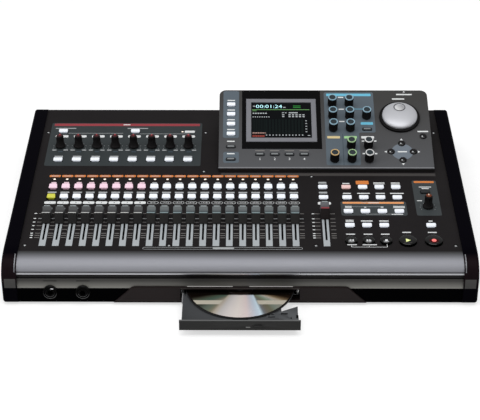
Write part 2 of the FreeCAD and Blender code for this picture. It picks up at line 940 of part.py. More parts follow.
def pin_jack(x, z):
    y = panel_rear_y
    length = rear_y - y
    base = cylinder(pin_jack_base, socket_body_depth, V(x, y, z), V(0, -1, 0))
    shell = cylinder(pin_jack_radius, length, V(x, y, z), V(0, 1, 0))
    bore = cylinder(pin_jack_bore, length + socket_body_depth / 2, V(x, y + length + 0.1, z), V(0, -1, 0))
    return joined([base, shell]).cut(bore)


def round_port(x):
    y = panel_rear_y
    body = cylinder(round_port_body, socket_body_depth, V(x, y + flange_plate, combo_z),
                    V(0, -1, 0))
    rim = cylinder(round_port_body + round_port_rim, flange_plate, V(x, y, combo_z), V(0, 1, 0))
    mouth = cylinder(round_port_radius, round_port_depth, V(x, y + flange_plate + 0.1, combo_z),
                     V(0, -1, 0))
    return joined([body, rim]).cut(mouth)


def usb_port():
    y = panel_rear_y
    half = usb_body / 2
    body = box(usb_x - half, usb_x + half, y - usb_body_depth, y + 1, combo_z - half, combo_z + half)
    mouth = box(usb_x - usb_width / 2, usb_x + usb_width / 2, y + 1 - usb_depth, y + 2,
                combo_z - usb_height / 2, combo_z + usb_height / 2)
    return body.cut(mouth)


def power_inlet():
    y = panel_rear_y
    depth = power_inlet_depth
    body = cylinder(jack_body_radius, depth + 4, V(power_inlet_x, y + 1, combo_z), V(0, -1, 0))
    bore = cylinder(power_inlet_radius, depth, V(power_inlet_x, y + 1.1, combo_z), V(0, -1, 0))
    pin = cylinder(power_pin_radius, depth - 0.5, V(power_inlet_x, y + 0.5 - depth, combo_z),
                   V(0, 1, 0))
    return joined([body.cut(bore), pin])


def switch_housing():
    """Frame of the rocker switch, with the two pin seats it swings in."""
    y = panel_rear_y
    half_w = switch_width / 2
    half_h = switch_height / 2
    edge_w = half_w + switch_flange
    edge_h = half_h + switch_flange
    rim = box(switch_x - edge_w, switch_x + edge_w, y, y + switch_rim, combo_z - edge_h,
              combo_z + edge_h)
    body = box(switch_x - half_w, switch_x + half_w, y - switch_depth, y + switch_rim,
               combo_z - half_h, combo_z + half_h)
    inside = box(switch_x - half_w + switch_frame, switch_x + half_w - switch_frame,
                 y - switch_well, y + 3, combo_z - half_h + switch_wall,
                 combo_z + half_h - switch_wall)
    pins = cylinder(switch_pin_radius + shaft_gap, switch_width + 2,
                    V(switch_x - half_w - 1, y - switch_pin_depth, combo_z), V(1, 0, 0))
    return joined([rim, body]).cut(inside).cut(pins)


def power_switch():
    """Rocker with two sloping faces, resting with its upper half pressed in."""
    y = panel_rear_y
    half_w = switch_width / 2 - switch_frame - fit_gap
    half_h = switch_height / 2 - switch_wall - switch_end_gap
    outline = [(y + switch_crest, combo_z - half_h), (y + switch_waist, combo_z),
               (y + switch_crest, combo_z + half_h),
               (y - switch_side_depth, combo_z + half_h),
               (y - switch_root_depth, combo_z + switch_root_half),
               (y - switch_root_depth, combo_z - switch_root_half),
               (y - switch_side_depth, combo_z - half_h)]
    rocker = prism(outline, switch_x - half_w, switch_x + half_w)
    pin_length = switch_width - 0.4
    pin = cylinder(switch_pin_radius, pin_length,
                   V(switch_x - pin_length / 2, y - switch_pin_depth, combo_z), V(1, 0, 0))
    whole = joined([rocker, pin])
    whole.rotate(V(switch_x, y - switch_pin_depth, combo_z), V(1, 0, 0), switch_tilt)
    return whole


def phone_jack(x):
    """Front jack with a raised ring standing on the curved fascia."""
    y = fascia_face_y(phone_z)
    body = cylinder(jack_body_radius, jack_length, V(x, y - phone_ring_proud, phone_z), V(0, 1, 0))
    ring = cylinder(phone_ring_radius, phone_ring_proud + phone_ring_seat,
                    V(x, y - phone_ring_proud, phone_z), V(0, 1, 0))
    edge = [e for e in ring.Edges if e.BoundBox.YMax < y - phone_ring_proud + 0.01]
    ring = ring.makeFillet(phone_ring_round, edge)
    hole = cylinder(jack_body_radius + fit_gap, 30, V(x, y - 10, phone_z), V(0, 1, 0))
    ring = ring.cut(fascia_shell().cut(hole))
    bore = cylinder(jack_bore_radius, jack_length - 2, V(x, y - phone_ring_proud - 0.1, phone_z),
                    V(0, 1, 0))
    return joined([body, ring]).cut(bore)


# Inside pieces


def slide_potentiometers():
    """Slider bodies below the panel, and the pale slotted plates that fill its slots."""
    solids = []
    low = panel_under - slider_body_height + slider_floor
    mid = fader_scale_top - fader_travel / 2
    half = fader_travel / 2 + stem_length / 2 + slot_end_gap
    for x in fader_columns():
        body = box(x - slider_body_width / 2, x + slider_body_width / 2,
                   mid - slider_length / 2, mid + slider_length / 2, -board_depth, panel_under)
        plate = box(x - plate_width / 2 + print_gap, x + plate_width / 2 - print_gap,
                    plate_front + print_gap, plate_back - print_gap, panel_under, 0)
        slot = box(x - slot_width / 2, x + slot_width / 2, mid - half, mid + half, low, 1)
        solids.append(on_panel(joined([body, plate]).cut(slot)))
    return solids


def rotary_controls():
    """Turning controls below both panels, and the ring the jog wheel turns in."""
    places = trim_places() + [(monitor_knob_x, monitor_knob_y)]
    solids = [on_panel(control_under(x, y, panel_thickness, -board_depth)) for x, y in places]
    solids += [on_pod(control_under(x, t, pod_wall, -pod_board_depth))
               for x, t in pod_knob_places()]
    ring = cylinder(jog_ring_radius, jog_ring_height, V(jog_x, jog_t, 0))
    ring = ring.makeFillet(0.8, edges_at(ring, jog_ring_height))
    seat = cylinder(jog_radius + fit_gap, jog_ring_height, V(jog_x, jog_t, jog_seat))
    half = jog_encoder / 2
    encoder = box(jog_x - half, jog_x + half, jog_t - half, jog_t + half, -pod_board_depth,
                  -pod_wall - fit_gap)
    neck = cylinder(jog_neck_radius, pod_wall + fit_gap, V(jog_x, jog_t, -pod_wall - fit_gap))
    bore = cylinder(jog_shaft_radius + shaft_gap, 40, V(jog_x, jog_t, -pod_board_depth - 1))
    solids.append(on_pod(joined([ring.cut(seat), neck, encoder]).cut(bore)))
    return solids


def jog_wheel():
    """Low dome with a finger dimple, turning on its own shaft."""
    low = jog_seat + fit_gap
    rise = [(jog_radius, low), (jog_radius, jog_rim_height)]
    steps = 8
    for step in range(1, steps):
        angle = math.pi / 2 * step / steps
        rise.append((jog_radius * math.cos(angle),
                     jog_rim_height + (jog_height - jog_rim_height) * math.sin(angle)))
    rise += [(0, jog_height), (0, -shaft_depth), (jog_shaft_radius, -shaft_depth),
             (jog_shaft_radius, low)]
    wheel = turned(rise)
    reach = (jog_dimple_radius ** 2 + jog_dimple_depth ** 2) / (2 * jog_dimple_depth)
    height = jog_rim_height + (jog_height - jog_rim_height) * math.sqrt(
        1 - (jog_dimple_offset / jog_radius) ** 2)
    dimple = Part.makeSphere(reach, V(0, jog_dimple_offset, height + reach - jog_dimple_depth))
    wheel = wheel.cut(dimple)
    wheel.translate(V(jog_x, jog_t, 0))
    return on_pod(wheel)


def pod_outline(inset, low):
    """Side outline of the pod, drawn in by one wall and open at the bottom."""
    slope = math.radians(pod_slope)
    y0 = pod_front_y + inset
    y1 = pod_rear_y - inset
    drop = inset / math.cos(slope)
    return [(y0, low), (y0, pod_front_z + inset * math.tan(slope) - drop),
            (y1, pod_rear_z - inset * math.tan(slope) - drop), (y1, low)]


def panel_foot(outline_shape):
    """Trims a shape so that it ends on the top panel's upper face."""
    block = box(-overall_width, overall_width, -overall_depth, overall_depth,
                -2 * panel_front_height, seat_gap)
    return outline_shape.cut(on_panel(block))


def display_pod():
    """Sloping shell with rounded rear corners that carries the screen and its controls."""
    low = panel_front_height - 6
    shell = prism(pod_outline(0, low), pod_left, pod_left + pod_width)
    corners = []
    for edge in shell.Edges:
        if abs(edge.tangentAt(edge.FirstParameter).z) > 0.9 and edge.CenterOfMass.y > pod_rear_y - 1:
            corners.append(edge)
    shell = shell.makeFillet(pod_corner_radius, corners)
    rim = []
    for edge in shell.Edges:
        centre = edge.CenterOfMass
        y = centre.y
        top = pod_front_z + (y - pod_front_y) * math.tan(math.radians(pod_slope))
        upright = abs(edge.tangentAt(edge.FirstParameter).z) > 0.9
        if abs(centre.z - top) < 1.2 and not upright:
            rim.append(edge)
    shell = shell.makeFillet(pod_edge, rim)
    hollow = prism(pod_outline(pod_wall, low - 1), pod_left + pod_wall,
                   pod_left + pod_width - pod_wall)
    inner = []
    for edge in hollow.Edges:
        if abs(edge.tangentAt(edge.FirstParameter).z) > 0.9:
            if edge.CenterOfMass.y > pod_rear_y - pod_wall - 1:
                inner.append(edge)
    hollow = hollow.makeFillet(pod_corner_radius - pod_wall, inner)
    shell = panel_foot(shell.cut(hollow))
    holes = [key_hole(x, t, w, d, pod_wall) for x, t, w, d in menu_keys() + function_keys()]
    holes += [round_hole(x, t, cursor_radius, pod_wall) for x, t in round_pod_keys()]
    holes += [round_hole(x, t, bush_radius, pod_wall, bush_gap) for x, t in pod_knob_places()]
    holes.append(round_hole(jog_x, jog_t, jog_neck_radius, pod_wall, bush_gap))
    pane = box(window_left - 0.1, window_left + window_width + 0.1, window_near - 0.1,
               window_far + 5, -window_thickness, 1)
    inner_pane = box(window_left + window_ledge, window_left + window_width - window_ledge,
                     window_near + window_ledge, bezel_far + 4.0, -pod_wall - 1, 1)
    stop = box(window_left - 1, window_left + window_width + 1, window_far + 0.1,
               window_far + 6, -window_thickness - 1, 2)
    holes += [pane.cut(stop), inner_pane]
    return shell.cut(on_pod(Part.makeCompound(holes)))


def display_window():
    """Black pane with the opening that the screen's bezel stands in."""
    pane = box(window_left, window_left + window_width, window_near, window_far,
               -window_thickness, 0)
    opening = box(bezel_left - 0.1, bezel_left + bezel_width + 0.1, bezel_near - 0.1,
                  bezel_far + 0.1, -window_thickness - 1, 1)
    return on_pod(pane.cut(opening))


def display_module():
    """Raised bezel frame, and the lit screen with its board behind it."""
    x0, x1 = bezel_left, bezel_left + bezel_width
    frame = box(x0, x1, bezel_near, bezel_far, -screen_depth, bezel_rise)
    frame = frame.makeChamfer(0.5, edges_at(frame, bezel_rise))
    opening = box(x0 + screen_border, x1 - screen_border, bezel_near + screen_border,
                  bezel_far - screen_border, -screen_depth - 1, bezel_rise + 1)
    frame = frame.cut(opening)
    screen = box(x0 + screen_border, x1 - screen_border, bezel_near + screen_border,
                 bezel_far - screen_border, -screen_depth, screen_top)
    board = box(x0 - 2, x1 + 2, bezel_near + 1, bezel_far + 3, -screen_depth - board_thickness,
                -screen_depth)
    return [on_pod(frame), on_pod(screen), on_pod(board)]


def panel_board():
    """Board under the top panel, with the switches of its keys."""
    half = inner_half - case_wall - board_edge
    low = -board_depth
    plate = box(-half, half, panel_front_y + board_edge,
                input_top_key_y + input_key_depth + panel_board_margin, low - board_thickness, low)
    holes = [cylinder(post_radius + board_post_gap, 20, V(x, y, low - 10)) for x, y in screw_places()]
    holes += [cylinder(shaft_radius + board_bore_gap, 20, V(x, y, low - 10))
              for x, y in trim_places() + [(monitor_knob_x, monitor_knob_y)]]
    places = [(x, y) for x, y, w, d in all_flat_keys()]
    places += [(x, transport_row_y) for x, r in transport_keys()]
    solids = [cut_all(plate, holes)] + switches(places, panel_thickness, low)
    return [on_panel(s) for s in solids]


def pod_board():
    """Board under the pod's face, with the switches of its keys."""
    low = -pod_board_depth
    side = pod_wall + pod_board_side
    plate = box(pod_left + side, pod_left + pod_width - side, pod_wall + pod_board_front,
                pod_length - pod_wall - board_edge, low - board_thickness, low)
    holes = [cylinder(shaft_radius + board_bore_gap, 20, V(x, t, low - 10))
             for x, t in pod_knob_places()]
    holes.append(cylinder(jog_shaft_radius + board_bore_gap, 20, V(jog_x, jog_t, low - 10)))
    places = [(x, t) for x, t, w, d in menu_keys() + function_keys()]
    places += round_pod_keys()
    solids = [cut_all(plate, holes)] + switches(places, pod_wall, low)
    return [on_pod(s) for s in solids]


def main_board():
    """Processor board on its standoffs, with its larger chips."""
    z = floor_z + case_wall + standoff_height
    board = box(main_board_x - main_board_width / 2, main_board_x + main_board_width / 2,
                main_board_y - main_board_length / 2, main_board_y + main_board_length / 2,
                z, z + board_thickness)
    posts = [cylinder(post_radius + board_post_gap, 8, V(x, y, z - 2)) for x, y in screw_places()]
    board = cut_all(board, posts)
    top = z + board_thickness
    chips = []
    for along, back, side in main_chips:
        x = main_board_x + (along - 0.5) * main_board_width
        y = main_board_y + (back - 0.5) * main_board_length
        chips.append(box(x - side / 2, x + side / 2, y - side / 2, y + side / 2,
                         top, top + chip_height))
    return [board] + chips


def hard_drive():
    """Small recording drive on four standoffs."""
    z = floor_z + case_wall + standoff_height
    body = rounded_box(hard_drive_x, hard_drive_y, hard_drive_width, hard_drive_length,
                       z, z + hard_drive_height, 3.0)
    return body


def optical_drive():
    """Slim drive: bottom pan, lid and two side rails round the tray's bay."""
    half = drive_width / 2
    y0 = tray_closed_face + bezel_thickness + drive_setback
    y1 = y0 + drive_depth
    z0, z1 = drive_floor, drive_floor + drive_height
    pan = box(-half, half, y0, y1, z0, z0 + drive_skin)
    lid = box(-half, half, y0, y1, z1 - drive_skin, z1)
    sides = [box(-half, -half + drive_side, y0, y1, z0 + drive_skin, z1 - drive_skin),
             box(half - drive_side, half, y0, y1, z0 + drive_skin, z1 - drive_skin)]
    back = box(-half + drive_side, half - drive_side, y1 - drive_back, y1, z0 + drive_skin,
               z1 - drive_skin)
    return [pan, lid] + sides + [back]


def disc_tray():
    """Tray with its bezel, round disc bay, spindle and the cut-away right rear."""
    half = drive_width / 2
    z0 = drive_floor + drive_skin + drive_gap
    face = tray_face
    bezel = box(-half, half, face, face + bezel_plate, drive_floor, drive_floor + drive_height)
    front = [e for e in bezel.Edges if e.BoundBox.YMax < face + 0.01]
    bezel = bezel.makeFillet(0.8, front)
    slot = box(eject_x - eject_width / 2 - fit_gap, eject_x + eject_width / 2 + fit_gap,
               face - 1, face + eject_depth,
               eject_z - eject_height / 2 - fit_gap, eject_z + eject_height / 2 + fit_gap)
    side = half - drive_side - drive_gap
    bed = box(-side, side, face + bezel_plate, face + tray_length, z0, z0 + tray_thickness)
    cut_near = face + tray_cut_near
    cut_far = face + tray_cut_far
    corner = [V(tray_cut_x, cut_near + tray_cut_slant, z0 - 1), V(tray_cut_corner, cut_far, z0 - 1),
              V(half + 5, cut_far, z0 - 1), V(half + 5, face + tray_length + 5, z0 - 1),
              V(tray_cut_x, face + tray_length + 5, z0 - 1)]
    wire = Part.makePolygon(corner + corner[:1])
    cutaway = Part.Face(wire).extrude(V(0, 0, tray_thickness + 2))
    rail = box(side - tray_rail_width, side, cut_far, face + tray_length, z0 + tray_rail_low,
               z0 + tray_rail_low + tray_rail_height)
    bed = joined([bed.cut(cutaway), rail])
    bay = cylinder(disc_radius + disc_recess_gap, 20, V(0, disc_y, disc_height - fit_gap))
    hub_top = disc_height - fit_gap
    bed = bed.cut(bay)
    hub = cylinder(hub_radius, hub_top - z0, V(0, disc_y, z0))
    rise = disc_thickness + spindle_rise
    spindle = cylinder(spindle_radius, rise, V(0, disc_y, hub_top))
    spindle = spindle.makeFillet(0.6, edges_at(spindle, hub_top + rise))
    notch_y = disc_y - disc_radius - finger_notch_radius + finger_notch_depth
    notch = cylinder(finger_notch_radius, 20, V(0, notch_y, z0 + 2.0))
    return joined([bed.cut(notch), hub, spindle, bezel]).cut(slot)


def disc():
    """Plain optical disc lying on the tray's spindle."""
    plate = cylinder(disc_radius, disc_thickness, V(0, disc_y, disc_height))
    return plate.cut(cylinder(disc_hole_radius, 4, V(0, disc_y, disc_height - 1)))


def eject_button():
    y = tray_face - eject_proud
    button = box(eject_x - eject_width / 2, eject_x + eject_width / 2, y,
                 y + eject_depth - eject_travel - print_gap,
                 eject_z - eject_height / 2, eject_z + eject_height / 2)
    front = [e for e in button.Edges if e.BoundBox.YMax < y + 0.01]
    return button.makeFillet(0.4, front)


# Faders


def fader(x, y):
    """Fader cap with a saddle top, and the flat stem that reaches into its slider."""
    half = fader_cap_length / 2
    crown = fader_cap_crown / 2
    top = fader_cap_height
    low = cap_bottom
    front_foot = V(0, -half, low)
    points = [front_foot, V(0, -crown, top), V(0, 0, top - fader_saddle), V(0, crown, top),
              V(0, half, low)]
    edges = [Part.LineSegment(points[0], points[1]).toShape(),
             Part.Arc(points[1], points[2], points[3]).toShape(),
             Part.LineSegment(points[3], points[4]).toShape(),
             Part.LineSegment(points[4], points[0]).toShape()]
    cap = Part.Face(Part.Wire(edges)).extrude(V(fader_cap_width, 0, 0))
    cap.translate(V(-fader_cap_width / 2, 0, 0))
    sides = [e for e in cap.Edges if e.BoundBox.ZMax > low + 0.1 and e.BoundBox.XLength < 0.1]
    cap = cap.makeFillet(0.7, sides)
    low_end = panel_under - slider_body_height + slider_floor + stem_floor_gap
    stem = box(-stem_width / 2, stem_width / 2, -stem_length / 2, stem_length / 2, low_end, low + 1)
    whole = joined([cap, stem])
    whole.translate(V(x, y, 0))
    return on_panel(whole)


def feet():
    solids = []
    for x, y in feet_places():
        pad = cylinder(foot_radius, foot_height, V(x, y, 0))
        pad = pad.makeFillet(0.8, edges_at(pad, 0))
        stud = cylinder(screw_radius, case_wall + foot_stud, V(x, y, foot_height))
        solids.append(joined([pad, stud]))
    return solids


def screws():
    """Countersunk panel screws with a cross recess."""
    solids = []
    for x, y in screw_places():
        head = cylinder(screw_head_radius, screw_head_height, V(x, y, -screw_head_height))
        head = head.makeFillet(0.4, edges_at(head, 0))
        shank = cylinder(screw_radius, screw_length, V(x, y, -screw_length))
        long, short = screw_cross_half, screw_cross_width / 2
        cross = [box(x - long, x + long, y - short, y + short, -screw_cross_depth, 1),
                 box(x - short, x + short, y - long, y + long, -screw_cross_depth, 1)]
        solids.append(on_panel(cut_all(joined([head, shank]), cross)))
    return solids


def write_case():
    save("bottom_case", bottom_case())
    save("top_panel", top_panel())
    save("palm_rest", palm_rest())
    save("front_fascia", front_fascia())
    save("rear_panel", rear_panel())
    save("left_end_cheek", cheek(-1))
    save("right_end_cheek", cheek(1))
    save("display_pod", display_pod())
    save("display_window", display_window())
    save("display_module", display_module())
    save("rubber_feet", feet())
    save("screws", screws())


def write_inside():
    save("control_board", panel_board() + pod_board())
    save("main_board", main_board())
    save("hard_drive", hard_drive())
    save("slide_potentiometers", slide_potentiometers())
    save("rotary_controls", rotary_controls())
    sockets = [combo_socket(combo_x(i)) for i in range(combo_count)]
    sockets += [line_jack(x, z) for x, z in line_jacks()]
    sockets += [pin_jack(x, z) for x, z in pin_jacks()]
    sockets += [round_port(x) for x in round_port_x]
    sockets += [usb_port(), power_inlet(), switch_housing()]
    sockets += [phone_jack(x) for x in phone_x]
    save("sockets", sockets)
    save("power_switch", power_switch())


def write_drive():
    save("optical_drive", optical_drive())
    save("disc_tray", disc_tray())
    save("disc", disc())
    save("eject_button", eject_button())


def write_controls():
    for number, (x, y) in enumerate(trim_places(), start=1):
        knob = trim_knob()
        knob.translate(V(x, y, 0))
        save("trim_knob_%d" % number, on_panel(knob))
    knob = trim_knob()
    knob.translate(V(monitor_knob_x, monitor_knob_y, 0))
    save("monitor_knob", on_panel(knob))
    for number, (x, t) in enumerate(pod_knob_places(), start=1):
        knob = pod_knob()
        knob.translate(V(x, t, 0))
        save("pod_knob_%02d" % number, on_pod(knob))
    save("jog_wheel", jog_wheel())
    rest_y = fader_scale_top - channel_fader_drop
    for number in range(channels // fader_bank):
        group = range(number * fader_bank, (number + 1) * fader_bank)
        save("fader_bank_%d" % (number + 1), [fader(channel_x(i), rest_y) for i in group])
    save("master_fader", fader(master_x, fader_scale_top))


def write_keys():
    groups = {"record_arm_keys": record_keys(), "select_keys": select_keys(),
              "edit_keys": edit_keys(), "locate_keys": locate_keys(), "input_keys": input_keys()}
    for name, places in groups.items():
        keys = [flat_key(x, y, w, d, key_rise, panel_thickness) for x, y, w, d in places]
        save(name, [on_panel(key) for key in keys])
    row = [round_key(x, transport_row_y, r, transport_rise, panel_thickness)
           for x, r in transport_keys()]
    save("transport_keys", [on_panel(key) for key in row])
    pod_groups = {"menu_keys": menu_keys(), "function_keys": function_keys()}
    for name, places in pod_groups.items():
        keys = [flat_key(x, t, w, d, dark_rise, pod_wall) for x, t, w, d in places]
        save(name, [on_pod(key) for key in keys])
    pad = [round_key(x, t, cursor_radius, dark_rise, pod_wall) for x, t in round_pod_keys()]
    save("cursor_keys", [on_pod(key) for key in pad])


os.makedirs("parts", exist_ok=True)
write_case()
write_inside()
write_drive()
write_controls()
write_keys()
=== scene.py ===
import math
import bmesh
import bpy
from mathutils import Matrix, Vector


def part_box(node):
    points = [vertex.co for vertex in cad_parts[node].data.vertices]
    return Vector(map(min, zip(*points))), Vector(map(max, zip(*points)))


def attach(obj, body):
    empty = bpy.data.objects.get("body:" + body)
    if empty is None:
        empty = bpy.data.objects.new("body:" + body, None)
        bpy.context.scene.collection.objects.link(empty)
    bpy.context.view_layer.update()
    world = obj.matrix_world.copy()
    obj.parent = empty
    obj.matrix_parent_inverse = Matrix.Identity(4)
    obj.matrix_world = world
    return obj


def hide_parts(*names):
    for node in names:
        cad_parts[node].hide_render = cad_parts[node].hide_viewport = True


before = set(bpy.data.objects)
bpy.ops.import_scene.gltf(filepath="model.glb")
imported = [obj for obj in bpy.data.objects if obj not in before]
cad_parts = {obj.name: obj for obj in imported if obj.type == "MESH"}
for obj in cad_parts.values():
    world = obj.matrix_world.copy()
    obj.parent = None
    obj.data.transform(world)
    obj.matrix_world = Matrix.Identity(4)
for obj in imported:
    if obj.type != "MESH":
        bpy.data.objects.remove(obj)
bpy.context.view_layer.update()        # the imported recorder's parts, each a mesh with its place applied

mm = 0.001
caseShape = {"panelSlope": 0.9, "podSlope": 17.4, "podLip": 5.5}


def boxOf(node):  # a node's two corners in millimetres
    low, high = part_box(node)
    return low / mm, high / mm


def slopedPlace(pivotY, pivotZ, flatY, degrees):  # from a panel drawn flat, in mm, to the frame
    tilt = Matrix.Rotation(math.radians(degrees), 4, "X")
    return (Matrix.Scale(mm, 4) @ Matrix.Translation((0, pivotY, pivotZ)) @ tilt
            @ Matrix.Translation((0, -flatY, 0)))


panelFrontY = boxOf("top_panel")[0].y
panelHeight = boxOf("palm_rest")[1].z
podFrontY = boxOf("display_pod")[0].y
podHeight = (panelHeight + (podFrontY - panelFrontY) * math.tan(math.radians(caseShape["panelSlope"]))
             + caseShape["podLip"])
flatPlace = Matrix.Scale(mm, 4)
panelPlace = slopedPlace(panelFrontY, panelHeight, panelFrontY, caseShape["panelSlope"])
podPlace = slopedPlace(podFrontY, podHeight, 0, caseShape["podSlope"])


# Nodes, and the shared effects of the finishes

def addObject(name, data):  # a new object, linked into the scene
    made = bpy.data.objects.new(name, data)
    bpy.context.scene.collection.objects.link(made)
    return made


def newTree(kind, name, inputs, outputs):  # an input or output is given by its type or by a start value
    tree = bpy.data.node_groups.new(name, kind)
    for way, sockets in (("INPUT", inputs), ("OUTPUT", outputs)):
        for label, given in sockets.items():
            typed = isinstance(given, str)
            socket = tree.interface.new_socket(label, in_out=way,
                                               socket_type="NodeSocket" + (given if typed else "Float"))
            if not typed:
                socket.default_value = given
    return tree, tree.nodes.new("NodeGroupInput").outputs, tree.nodes.new("NodeGroupOutput").inputs


def addNode(tree, kind, inputs=(), **settings):  # gives its outputs; an input takes a socket or a value
    node = tree.nodes.new(kind)
    for label, value in settings.items():
        setattr(node, label, value)
    for label, value in dict(inputs).items():
        if isinstance(value, bpy.types.NodeSocket):
            tree.links.new(value, node.inputs[label])
        else:
            node.inputs[label].default_value = value
    return node.outputs


def addMath(tree, operation, first, second):
    return addNode(tree, "ShaderNodeMath", {0: first, 1: second}, operation=operation)[0]


def addWhere(tree):  # the object's own coordinates
    return addNode(tree, "ShaderNodeTexCoord")["Object"]


def grainEffect():  # fine moulded grain, and a slow cloud that varies tone
    group, given, result = newTree("ShaderNodeTree", "mouldedGrain",
                                   {"Grain Scale": 2500, "Cloud Scale": 25}, {"Grain": 0, "Cloud": 0})
    where = addWhere(group)
    for label in ("Grain", "Cloud"):
        noise = addNode(group, "ShaderNodeTexNoise",
                        {"Vector": where, "Scale": given[label + " Scale"], "Detail": 3})
        group.links.new(noise["Fac"], result[label])
    return group


def brushEffect():  # fine lines left along the length of rolled or brushed metal
    group, given, result = newTree("ShaderNodeTree", "brushedLines",
                                   {"Line Scale": 3000, "Stretch": 60}, {"Lines": 0})
    split = addNode(group, "ShaderNodeSeparateXYZ", {0: addWhere(group)})
    drawn = addMath(group, "DIVIDE", split["X"], given["Stretch"])
    join = addNode(group, "ShaderNodeCombineXYZ", {"X": drawn, "Y": split["Y"], "Z": split["Z"]})
    noise = addNode(group, "ShaderNodeTexNoise", {"Vector": join[0], "Scale": given["Line Scale"]})
    group.links.new(noise["Fac"], result["Lines"])
    return group


def rubEffect():  # soft patches where hands and cloths have polished the surface
    group, given, result = newTree("ShaderNodeTree", "rubbedPatches",
                                   {"Patch Scale": 12, "Softness": 0.2}, {"Mask": 0})
    noise = addNode(group, "ShaderNodeTexNoise",
                    {"Vector": addWhere(group), "Scale": given["Patch Scale"], "Detail": 4})
    edge = addMath(group, "ADD", 0.5, given["Softness"])
    fade = addNode(group, "ShaderNodeMapRange", {"Value": noise["Fac"], "From Min": 0.5, "From Max": edge})
    group.links.new(fade[0], result["Mask"])
    return group


mouldedGrain = grainEffect()
brushedLines = brushEffect()
rubbedPatches = rubEffect()


def placeEffect(material, group, values):
    return addNode(material.node_tree, "ShaderNodeGroup", values, node_tree=group)


def rgb(code):  # a written colour such as "4a4d4e" as linear light
    parts = [int(code[i:i + 2], 16) / 255 for i in (0, 2, 4)]
    return [p / 12.92 if p <= 0.04045 else ((p + 0.055) / 1.055) ** 2.4 for p in parts] + [1.0]


usualLook = {"metal": 0.0, "coat": 0.0, "coatRough": 0.05, "shine": 0.5, "glow": 0.0, "milky": 0.0,
             "grain": 2500, "cloud": 25, "patch": 14, "patchSoft": 0.25, "depth": 0.3, "relief": 0.02,
             "brushed": 0}


def tint(colours, low, high, /, **more):  # one or two colours, the span of roughness, and what differs
    first, *rest = colours.split()
    return {**usualLook, "colour": first, "second": (rest or [first])[0], "rough": (low, high),
            "glowColour": first, **more}


def finish(name, values):  # one procedural finish from its look
    material = bpy.data.materials.new(name)
    material.use_nodes = True
    tree = material.node_tree
    shader = tree.nodes["Principled BSDF"].inputs
    for label, key in (("Metallic", "metal"), ("Coat Weight", "coat"), ("Coat Roughness", "coatRough"),
                       ("Specular IOR Level", "shine"), ("Emission Strength", "glow"),
                       ("Subsurface Weight", "milky")):
        shader[label].default_value = values[key]
    shader["Subsurface Radius"].default_value = (mm, mm, mm)
    shader["Emission Color"].default_value = rgb(values["glowColour"])
    grain = placeEffect(material, mouldedGrain, {"Grain Scale": values["grain"],
                                                 "Cloud Scale": values["cloud"]})
    rub = placeEffect(material, rubbedPatches, {"Patch Scale": values["patch"],
                                                "Softness": values["patchSoft"]})
    tone = addNode(tree, "ShaderNodeMix", {"A": rgb(values["colour"]), "B": rgb(values["second"]),
                                           "Factor": grain["Cloud"]}, data_type="RGBA")
    low, high = values["rough"]
    rough = addNode(tree, "ShaderNodeMapRange", {"Value": rub["Mask"], "To Min": high, "To Max": low})
    height = grain["Grain"]
    if values["brushed"]:
        height = placeEffect(material, brushedLines, {"Stretch": values["brushed"]})["Lines"]
    bump = addNode(tree, "ShaderNodeBump", {"Strength": values["depth"], "Height": height,
                                            "Distance": values["relief"] * mm})
    for label, socket in (("Base Color", tone["Result"]), ("Roughness", rough[0]),
                          ("Normal", bump["Normal"])):
        tree.links.new(socket, shader[label])
    return material


def placeMask(material, place, axis, low, high):  # 0 at low and 1 at high, along an axis of a flat frame
    tree = material.node_tree
    way = place.to_3x3().normalized() @ Vector([float(axis == i) for i in range(3)])
    dot = addNode(tree, "ShaderNodeVectorMath", {0: addWhere(tree), 1: way}, operation="DOT_PRODUCT")
    level = way.dot(place @ Vector((0, 0, 0)))
    return addNode(tree, "ShaderNodeMapRange", {"Value": dot["Value"], "From Min": level + low * mm,
                                                "From Max": level + high * mm})[0]


def zoneMask(material, limits, soft=0.2):  # 1 inside every (place, axis, low, high)
    masks = [placeMask(material, place, axis, *edge) for place, axis, low, high in limits
             for edge in ((low - soft, low), (high + soft, high))]
    whole = masks[0]
    for mask in masks[1:]:
        whole = addMath(material.node_tree, "MULTIPLY", whole, mask)
    return whole


def twoTone(material, mask, colour):  # lays a colour over the first where mask is 1
    tree = material.node_tree
    base = tree.nodes["Principled BSDF"].inputs["Base Color"]
    over = rgb(colour) if isinstance(colour, str) else colour
    mix = addNode(tree, "ShaderNodeMix", {"A": base.links[0].from_socket, "B": over, "Factor": mask},
                  data_type="RGBA")
    tree.links.new(mix["Result"], base)
    return material


def rampColour(material, value, stops):  # colours written as (place, code) along a 0 to 1 value
    hues = material.node_tree.nodes.new("ShaderNodeValToRGB")
    while len(hues.color_ramp.elements) < len(stops):
        hues.color_ramp.elements.new(0.5)
    for element, (place, code) in zip(hues.color_ramp.elements, stops):
        element.position = place
        element.color = rgb(code)
    material.node_tree.links.new(value, hues.inputs["Fac"])
    return hues.outputs["Color"]


# Outlines, drawn flat in millimetres

def roundedLoop(corners, radius, steps=4):  # a polygon with its corners rounded, counter-clockwise
    loop = []
    count = len(corners)
    for index, corner in enumerate(corners):
        here = Vector(corner).to_2d()
        before = (Vector(corners[index - 1]).to_2d() - here)
        after = (Vector(corners[(index + 1) % count]).to_2d() - here)
        half = before.angle(after) / 2
        reach = min(radius / math.tan(half), 0.49 * before.length, 0.49 * after.length)
        bend = reach * math.tan(half)
        middle = here + (before.normalized() + after.normalized()).normalized() * (bend / math.sin(half))
        start = here + before.normalized() * reach - middle
        end = here + after.normalized() * reach - middle
        turn = start.angle_signed(end)
        for step in range(steps + 1):
            spoke = start.copy()
            spoke.rotate(Matrix.Rotation(-turn * step / steps, 2))
            loop.append(middle + spoke)
    return loop


